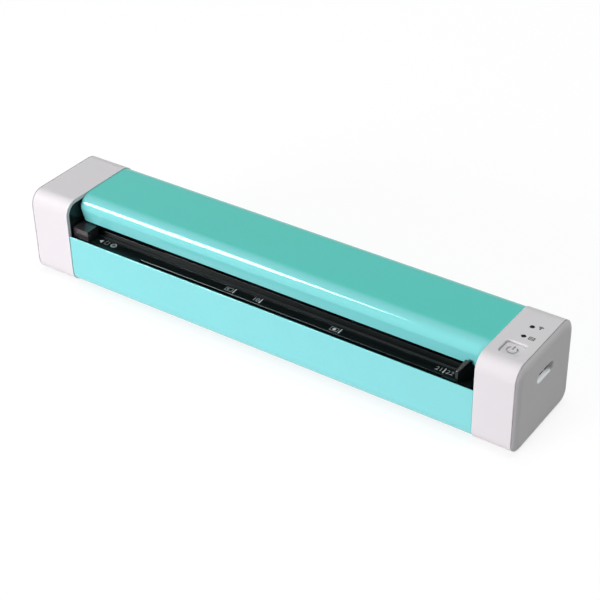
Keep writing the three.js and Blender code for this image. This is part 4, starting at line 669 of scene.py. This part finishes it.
dress(top_cover(), "turquoise", "cover", ["top_cover"])


# ---- Button, light pipes and marks on the right cap ----
FLANGE_WIDER, FLANGE_THICK = 2, 0.8
STEM_RADIUS = 2
KEY_CORNER, KEY_ROUND = 1.3, 0.35
# Power symbol, cut in: height over the key's face, the ring's two radii, half the bar's width
SYMBOL_LEVELS = ((-1.3, 2.22, 2.83, 0.28), (0, 2.08, 2.97, 0.42), (1, 2.05, 3.0, 0.44))
# Degrees from the bar to each end of the ring
SYMBOL_GAP = 36
SYMBOL_TOP, SYMBOL_DROP = 3.1, 0.2
PIPE_SUNK = 0.06
MARK_THICK = 0.04


def power_button():
    """Square key on a flange and a stem, with the symbol cut in."""
    low, high = [corner.z / MM - FOOT_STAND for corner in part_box("power_button")]
    flange_top = HEIGHT - CAP_WALL - GAP
    size = BUTTON_SIZE - 2 * GAP

    def square(side, corner):
        return rounded_square(BUTTON_X, BUTTON_Y, side, corner)

    # As many points as a rounded square has
    turns = [math.radians(90 * k + 90 * i / CORNER_STEPS)
             for k in range(4) for i in range(CORNER_STEPS + 1)]
    stem = ring_points(BUTTON_X, BUTTON_Y, STEM_RADIUS, turns)
    flange = square(BUTTON_SIZE + FLANGE_WIDER, BUTTON_CORNER)
    rings = [(low, stem), (flange_top - FLANGE_THICK, stem), (flange_top - FLANGE_THICK, flange),
             (flange_top, flange), (flange_top, square(size, KEY_CORNER))]
    for i in range(EDGE_STEPS + 1):
        a = math.pi / 2 * i / EDGE_STEPS
        drawn = KEY_ROUND * (1 - math.cos(a))
        rings.append((high - KEY_ROUND * (1 - math.sin(a)),
                      square(size - 2 * drawn, KEY_CORNER - drawn)))
    obj = stack_z("power_button_shown", rings)
    turns = [math.radians(90 + SYMBOL_GAP + (360 - 2 * SYMBOL_GAP) * i / CIRCLE_STEPS)
             for i in range(CIRCLE_STEPS + 1)]
    ring = [(high + over, band(BUTTON_X, BUTTON_Y - SYMBOL_DROP, narrow, wide, turns))
            for over, narrow, wide, _ in SYMBOL_LEVELS]
    top = BUTTON_Y + SYMBOL_TOP
    bar = [(high + over, [(BUTTON_X - half, BUTTON_Y), (BUTTON_X + half, BUTTON_Y),
                          (BUTTON_X + half, top), (BUTTON_X - half, top)])
           for over, _, _, half in SYMBOL_LEVELS]
    return combine(obj, [stack_z("tool", ring), stack_z("tool", bar)])


def light_pipe(i, place):
    """Status light, sunk a little into the cap."""
    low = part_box(f"light_pipe_{i}")[0].z / MM - FOOT_STAND
    high = HEIGHT - PIPE_SUNK
    rings = [(low, PIPE_RADIUS), (high - 0.1, PIPE_RADIUS), (high, PIPE_TOP_RADIUS)]
    return stack_z(f"light_pipe_{i}_shown",
                   [(z, circle(PIPE_X, front(place), radius)) for z, radius in rings])


def plate(name, outline, z, finish):
    """Printed mark on the housing."""
    return dress(stack_z(name, [(z, outline), (z + MARK_THICK, outline)]), finish, "housing")


def stroke(name, xs, ys, z, finish):
    """Printed stroke along X or Y."""
    return dress(box(name, xs, ys, (z, z + MARK_THICK)), finish, "housing")


def frame_mark(name, x, y, w, h, z, line, finish):
    """Four strokes round a rectangle."""
    strokes = [((x - w / 2, x + w / 2), (y + h / 2 - line, y + h / 2)),
               ((x - w / 2, x + w / 2), (y - h / 2, y - h / 2 + line)),
               ((x - w / 2, x - w / 2 + line), (y - h / 2 + line, y + h / 2 - line)),
               ((x + w / 2 - line, x + w / 2), (y - h / 2 + line, y + h / 2 - line))]
    for k, (xs, ys) in enumerate(strokes):
        stroke(f"{name}_{k + 1}", xs, ys, z, finish)


def fan_mark(x, y):
    """Dot with two arcs over it."""
    low, half = y - 0.8, 0.27
    plate("signal_mark_dot", circle(x, low, 0.45, 16), HEIGHT, "dark_print")
    angles = [math.radians(48 + 84 * i / 12) for i in range(13)]
    for k, radius in enumerate((0.95, 1.75)):
        outline = band(x, low, radius - half, radius + half, angles)
        plate(f"signal_mark_arc_{k + 1}", outline, HEIGHT, "dark_print")


def sheet_mark(x, y):
    """Sheet with a line on it."""
    frame_mark("sheet_mark", x, y, 3.0, 2.4, HEIGHT, 0.42, "dark_print")
    stroke("sheet_mark_line", (x - 0.8, x + 0.8), (y - 0.25, y + 0.25), HEIGHT, "dark_print")


dress(power_button(), "white", "button", ["power_button"])
for i, place in enumerate(PIPE_PLACES, 1):
    dress(light_pipe(i, place), "lens", "housing", [f"light_pipe_{i}"])
fan_mark(138.05, front(36.0))
sheet_mark(138.35, front(26.4))


# ---- Marks on the shelf ----
TICKS = (-17.25, -1.05, 46.15, 104.05)
TICK_HALF, TICK_FRONT, TICK_REAR = 0.3, 6.5, 10.3
MARK_Y = front(8.3)
NUMBER_SIZE, NUMBER_BOLDER, NUMBER_THICK, NUMBER_UP = 4.0, 0.04, 0.01, 0.02
ICON_BEFORE, ICON_WIDE, ICON_HIGH, ICON_LINE = 3.3, 4.4, 3.0, 0.3
ARROW_TIP, ARROW_BASE, ARROW_HALF = -106.0, -103.9, 1.5
SIDE_SHEET_X = -100.9
FACE_X, FACE_INNER, FACE_OUTER = -96.4, 1.2, 1.7


def number(name, words, x, align="RIGHT"):
    """Plain numerals lying on the shelf."""
    curve = bpy.data.curves.new(name, "FONT")
    curve.body = words
    curve.size = NUMBER_SIZE * MM
    curve.offset = NUMBER_BOLDER * MM
    curve.extrude = NUMBER_THICK * MM
    curve.align_x = align
    curve.align_y = "CENTER"
    obj = link(name, curve)
    obj.location = at(x, MARK_Y, SHELF + NUMBER_UP)
    bpy.context.view_layer.update()
    evaluated = obj.evaluated_get(bpy.context.evaluated_depsgraph_get())
    mesh = bpy.data.meshes.new_from_object(evaluated)
    mesh.transform(obj.matrix_world)
    bpy.data.objects.remove(obj)
    return dress(link(name, mesh), "soft_print", "housing")


def shelf_stroke(name, xs, ys, finish):
    return stroke(name, xs, (MARK_Y + ys[0], MARK_Y + ys[1]), SHELF, finish)


for k, x in enumerate(TICKS, 1):
    stroke(f"tick_{k}", (x - TICK_HALF, x + TICK_HALF), (front(TICK_FRONT), front(TICK_REAR)),
           SHELF, "print")
number("number_10", "10", TICKS[1] - 0.8)
number("number_21", "21", TICKS[3] - 0.8)
number("number_22", "22", TICKS[3] + 1.0, "LEFT")
icon = (ICON_WIDE, ICON_HIGH, SHELF, ICON_LINE, "soft_print")
frame_mark("card_mark", TICKS[0] - ICON_BEFORE, MARK_Y, *icon)
shelf_stroke("card_mark_chip", (TICKS[0] - 4.6, TICKS[0] - 3.4), (-0.5, 0.6), "soft_print")
frame_mark("picture_mark", TICKS[2] - ICON_BEFORE, MARK_Y, *icon)
plate("picture_mark_spot", circle(TICKS[2] - ICON_BEFORE, MARK_Y, 0.9, 20), SHELF, "print")
plate("side_mark_arrow", [(ARROW_TIP, MARK_Y), (ARROW_BASE, MARK_Y - ARROW_HALF),
                          (ARROW_BASE, MARK_Y + ARROW_HALF)], SHELF, "print")
frame_mark("sheet_side_mark", SIDE_SHEET_X, MARK_Y, 2.4, 3.0, SHELF, 0.22, "soft_print")
full_turn = [math.radians(9 * i) for i in range(41)]
plate("face_down_mark", band(FACE_X, MARK_Y, FACE_INNER, FACE_OUTER, full_turn), SHELF, "print")
shelf_stroke("face_down_mark_bar", (FACE_X - FACE_INNER, FACE_X + FACE_INNER), (-0.2, 0.2),
             "print")


# ---- Guides and tray ----
STRIP_FRONT, STRIP_REAR = 1.5, 3.2
SLOT_START = TRAY_LEFT + 44.5
SLOT_FRONT, SLOT_REAR, SHELF_REAR, LEDGE_REAR = 3.1, 5.2, 11.3, 13.8
LEDGE = SHELF + 1.1
BED_RIB_RISE = 0.5
TRAY_EDGE = 0.18
GUIDE_EDGE, GUIDE_END = 0.35, 0.6
FIN_FACE, FIN_TALL, FIN_NOSE = 2.8, 10.4, 7.2
FIN_NOSE_ROUND, FIN_TOP_ROUND, FIN_EDGE = 1.2, 1.0, 0.22
# X from the fin's left corner
FIN_WIDE, FIN_FRONT_WIDE, FIN_REAR_START = 6.4, 1.4, 3.0
FIN_PLACE = 10.9
HOOK_LEFT, HOOK_RIGHT, HOOK_DOWN, HOOK_THICK = 7.1, 7.9, 2.1, 1.5
WEB_FRONT, WEB_REAR, HOOK_REAR = 3.4, 4.9, 8.6


def fin():
    """Sliding guide: its fin, the web in the slot and the hook under the shelf."""
    face = front(FIN_FACE)
    top, nose = SHELF + FIN_TALL, SHELF + FIN_NOSE - FIN_NOSE_ROUND
    under, clear, tail = LIP_EDGE - GAP, 2 * GAP, SHELF_REAR + 1.5
    rear = lip_face(top) - clear
    profile = [(face, SHELF + GAP),
               *arc(face + FIN_NOSE_ROUND, nose, FIN_NOSE_ROUND, 180, 110, 8),
               *arc(rear - FIN_TOP_ROUND, top - FIN_TOP_ROUND, FIN_TOP_ROUND, 110, 0, 8),
               (lip_face(under) - clear, under), (front(tail), under), (front(tail), BED + GAP),
               (front(SHELF_REAR + 1 - GAP), BED + GAP), (front(SHELF_REAR - GAP), SHELF + GAP)]
    x0 = BODY_RIGHT - FIN_PLACE
    obj = prism_x("sliding_paper_guide_shown", profile, x0, x0 + FIN_WIDE)
    plan = [(x0, face), (x0 + FIN_FRONT_WIDE, face), (x0 + FIN_WIDE, front(tail)),
            (x0 + FIN_REAR_START, front(tail))]
    combine(obj, [stack_z("tool", [(0, plan), (HEIGHT, plan)])], "INTERSECT")
    base = (x0 - HOOK_LEFT, x0 + HOOK_RIGHT)
    hook_top = SHELF - HOOK_DOWN
    web = box("tool", base, (front(WEB_FRONT), front(WEB_REAR)),
              (hook_top - HOOK_THICK, SHELF + 2 * GAP))
    hook = box("tool", base, (front(WEB_FRONT), front(HOOK_REAR)),
               (hook_top - HOOK_THICK, hook_top))
    combine(obj, [web, hook], "UNION")
    tidy_mesh(obj.data, FLAT)
    return bevel(obj, FIN_EDGE)


def round_lines(obj, places, width):
    """Rounds the edges that run along X at these places of Y and Z."""
    bm = bmesh.new()
    bm.from_mesh(obj.data)
    for y, z in places:
        spot = at(0, y, z)
        edges = [e for e in bm.edges
                 if all((v.co.yz - spot.yz).length < LINE_REACH * MM for v in e.verts)]
        bmesh.ops.bevel(bm, geom=edges, offset=width * MM, offset_type="OFFSET", segments=3,
                        profile=0.5, affect="EDGES", clamp_overlap=False)
    bm.to_mesh(obj.data)
    bm.free()


def feed_tray():
    """Tray with a strip behind the rim of the lower cover and a low ledge before the bed."""
    obj = frame["nodes"]["feed_tray"].copy()
    obj.data = frame["nodes"]["feed_tray"].data.copy()
    obj.name = "feed_tray_shown"
    bpy.context.scene.collection.objects.link(obj)
    tidy_mesh(obj.data, FLAT)
    shelf = (SHELF - TRAY_WALL, SHELF)
    left = box("tool", (TRAY_LEFT, SLOT_START), (front(STRIP_FRONT), front(STRIP_REAR)), shelf)
    rest = box("tool", (SLOT_START - 1, BODY_RIGHT), (front(STRIP_FRONT), front(SLOT_FRONT)),
               shelf)
    combine(obj, [left, rest], "UNION")
    over_ledge = [(front(SHELF_REAR - 1), LEDGE), (front(LEDGE_REAR), LEDGE),
                  (front(LEDGE_REAR), HEIGHT), (front(SHELF_REAR - 1), HEIGHT)]
    edge, over = 0.09, 0.01
    worn = [(front(SLOT_REAR) - over, SHELF + over),
            (front(SLOT_REAR) - over, SHELF - edge - over),
            (front(SLOT_REAR) + edge + over, SHELF + over)]
    combine(obj, [prism_x("tool", over_ledge, LEFT_END, RIGHT_END),
                  prism_x("tool", worn, SLOT_START, RIGHT_END)])
    tidy_mesh(obj.data, FLAT)
    # Front edges of the bed and of the rib on it
    round_lines(obj, [(front(LEDGE_REAR), BED), (front(LEDGE_REAR), BED + BED_RIB_RISE)],
                TRAY_EDGE)
    return obj


def fixed_guide():
    """The CAD guide, its left end drawn out to the cap."""
    obj = bevel(copy_of("fixed_paper_guide"), GUIDE_EDGE)
    for vertex in obj.data.vertices:
        if vertex.co.x / MM < TRAY_LEFT + GUIDE_END:
            vertex.co.x -= (TRAY_LEFT - BODY_LEFT) * MM
    return obj


dress(fin(), "black", "paper_guide", ["sliding_paper_guide"])
dress(feed_tray(), "black", "housing", ["feed_tray"])

BODY_OF = {n: body for body, members in frame["record"]["behaviour"]["bodies"].items()
           for n in members}
ROUNDED = {
    "exit_guide": 0.25, "upper_guide": 0.25,
    "chassis": 0.2, "left_side_plate": 0.25, "right_side_plate": 0.25, "image_sensor_bar": 0.2,
    "backing_plate": 0.1, "motor_bracket": 0.15, "main_board": 0.1, "side_board": 0.1,
    "usb_socket": 0.12, "power_switch": 0.15, "battery": 0.4,
}
for name, width in ROUNDED.items():
    dress(bevel(copy_of(name), width), NODE_SLOT[name], BODY_OF[name], [name])
dress(fixed_guide(), "black_guide", "housing", ["fixed_paper_guide"])


# ---- Camera, floor and light ----
CAMERA_PLACE = (374.92, -518.12, 453.22)
CAMERA_AZIMUTH, CAMERA_ELEVATION, CAMERA_ROLL = 35.209, 34.243, -1.2
CAMERA_LENS, CAMERA_SENSOR = 91.2, 36
FLOOR_REACH = 4.0
# The floor as it lights the object, and as it is seen: its own grey and a glow
FLOOR_LIT, FLOOR_SEEN, FLOOR_GLOW = (0.5, 0.5, 0.5, 1), (0.3, 0.3, 0.3, 1), 0.8
WORLD_COLOUR, WORLD_LIGHT = (0.9, 0.93, 0.93, 1), 0.27
WHITE = (1, 1, 1, 1)
# Height in metres of the place that the lamps are aimed at
LAMP_AIM = 0.03


def set_camera():
    """Camera at the photograph's viewing angle."""
    azimuth, elevation, roll = map(math.radians, (CAMERA_AZIMUTH, CAMERA_ELEVATION, CAMERA_ROLL))
    back = Vector((math.sin(azimuth) * math.cos(elevation),
                   -math.cos(azimuth) * math.cos(elevation), math.sin(elevation)))
    right = Vector((math.cos(azimuth), math.sin(azimuth), 0))
    up = back.cross(right)
    right, up = (right * math.cos(roll) + up * math.sin(roll),
                 up * math.cos(roll) - right * math.sin(roll))
    data = bpy.data.cameras.new("camera")
    data.lens = CAMERA_LENS
    data.sensor_width = CAMERA_SENSOR
    data.clip_start = 0.01
    camera = link("camera", data)
    turn = Matrix((right, up, back)).transposed().to_4x4()
    camera.matrix_world = Matrix.Translation(at(*CAMERA_PLACE)) @ turn
    bpy.context.scene.camera = camera


def white_share(tree):
    """1 for camera, glossy and transmission rays, and 0 for the light on the object."""
    path = node(tree, "ShaderNodeLightPath")
    total = path.outputs["Is Camera Ray"]
    for kind in ("Is Glossy Ray", "Is Transmission Ray"):
        add = node(tree, "ShaderNodeMath", operation="MAXIMUM")
        tree.links.new(total, add.inputs[0])
        tree.links.new(path.outputs[kind], add.inputs[1])
        total = add.outputs[0]
    return total


def floor():
    """Floor that is seen as white with the object's shadow, and lights it as a pale grey."""
    reach = FLOOR_REACH
    mesh = bpy.data.meshes.new("floor")
    corners = [(-reach, -reach, 0), (reach, -reach, 0), (reach, reach, 0), (-reach, reach, 0)]
    mesh.from_pydata(corners, [], [(0, 1, 2, 3)])
    obj = link("floor", mesh)
    material = bpy.data.materials.new("white_floor")
    material.use_nodes = True
    tree = material.node_tree
    tree.nodes.clear()
    output = node(tree, "ShaderNodeOutputMaterial")
    plain = node(tree, "ShaderNodeBsdfDiffuse")
    plain.inputs["Color"].default_value = FLOOR_LIT
    seen = node(tree, "ShaderNodeBsdfDiffuse")
    seen.inputs["Color"].default_value = FLOOR_SEEN
    glow = node(tree, "ShaderNodeEmission")
    glow.inputs["Strength"].default_value = FLOOR_GLOW
    both = node(tree, "ShaderNodeAddShader")
    mix = node(tree, "ShaderNodeMixShader")
    tree.links.new(seen.outputs[0], both.inputs[0])
    tree.links.new(glow.outputs[0], both.inputs[1])
    tree.links.new(white_share(tree), mix.inputs[0])
    tree.links.new(plain.outputs[0], mix.inputs[1])
    tree.links.new(both.outputs[0], mix.inputs[2])
    tree.links.new(mix.outputs[0], output.inputs["Surface"])
    mesh.materials.append(material)


def studio_world():
    """World that is seen as white, and lights the object at a plain level."""
    world = bpy.data.worlds.new("studio")
    world.use_nodes = True
    tree = world.node_tree
    tree.nodes.clear()
    output = node(tree, "ShaderNodeOutputWorld")
    light = node(tree, "ShaderNodeBackground", Strength=WORLD_LIGHT)
    light.inputs["Color"].default_value = WORLD_COLOUR
    seen = node(tree, "ShaderNodeBackground", Strength=1.0)
    seen.inputs["Color"].default_value = WHITE
    mix = node(tree, "ShaderNodeMixShader")
    tree.links.new(white_share(tree), mix.inputs[0])
    tree.links.new(light.outputs[0], mix.inputs[1])
    tree.links.new(seen.outputs[0], mix.inputs[2])
    tree.links.new(mix.outputs[0], output.inputs["Surface"])
    bpy.context.scene.world = world


def lamp(name, direction, distance, wide, tall, level, colour=(1, 1, 1)):
    """Soft panel that lights a white face turned to it at this level."""
    data = bpy.data.lights.new(name, "AREA")
    data.shape = "RECTANGLE"
    data.size = wide
    data.size_y = tall
    data.energy = level * math.pi ** 2 * distance ** 2
    data.color = colour
    obj = link(name, data)
    toward = Vector(direction).normalized()
    obj.location = toward * distance + Vector((0, 0, LAMP_AIM))
    obj.rotation_euler = toward.to_track_quat("Z", "Y").to_euler()
    return obj


set_camera()
floor()
studio_world()
# Only the first panel is seen in gloss, as the line of light along the lip
highlight = lamp("highlight_panel", (-0.568, -0.453, 0.686), 1.8, 0.5, 0.75, 0.94)
highlight.visible_diffuse = False
above = lamp("top_panel", (0.08, 0.10, 0.99), 2.0, 1.4, 1.4, 0.40)
above.visible_glossy = False
ahead = lamp("front_panel", (-0.42, -0.90, 0.14), 1.6, 1.1, 0.6, 0.93, (1, 0.94, 0.985))
ahead.visible_glossy = False
bpy.context.scene.view_settings.view_transform = "Standard"
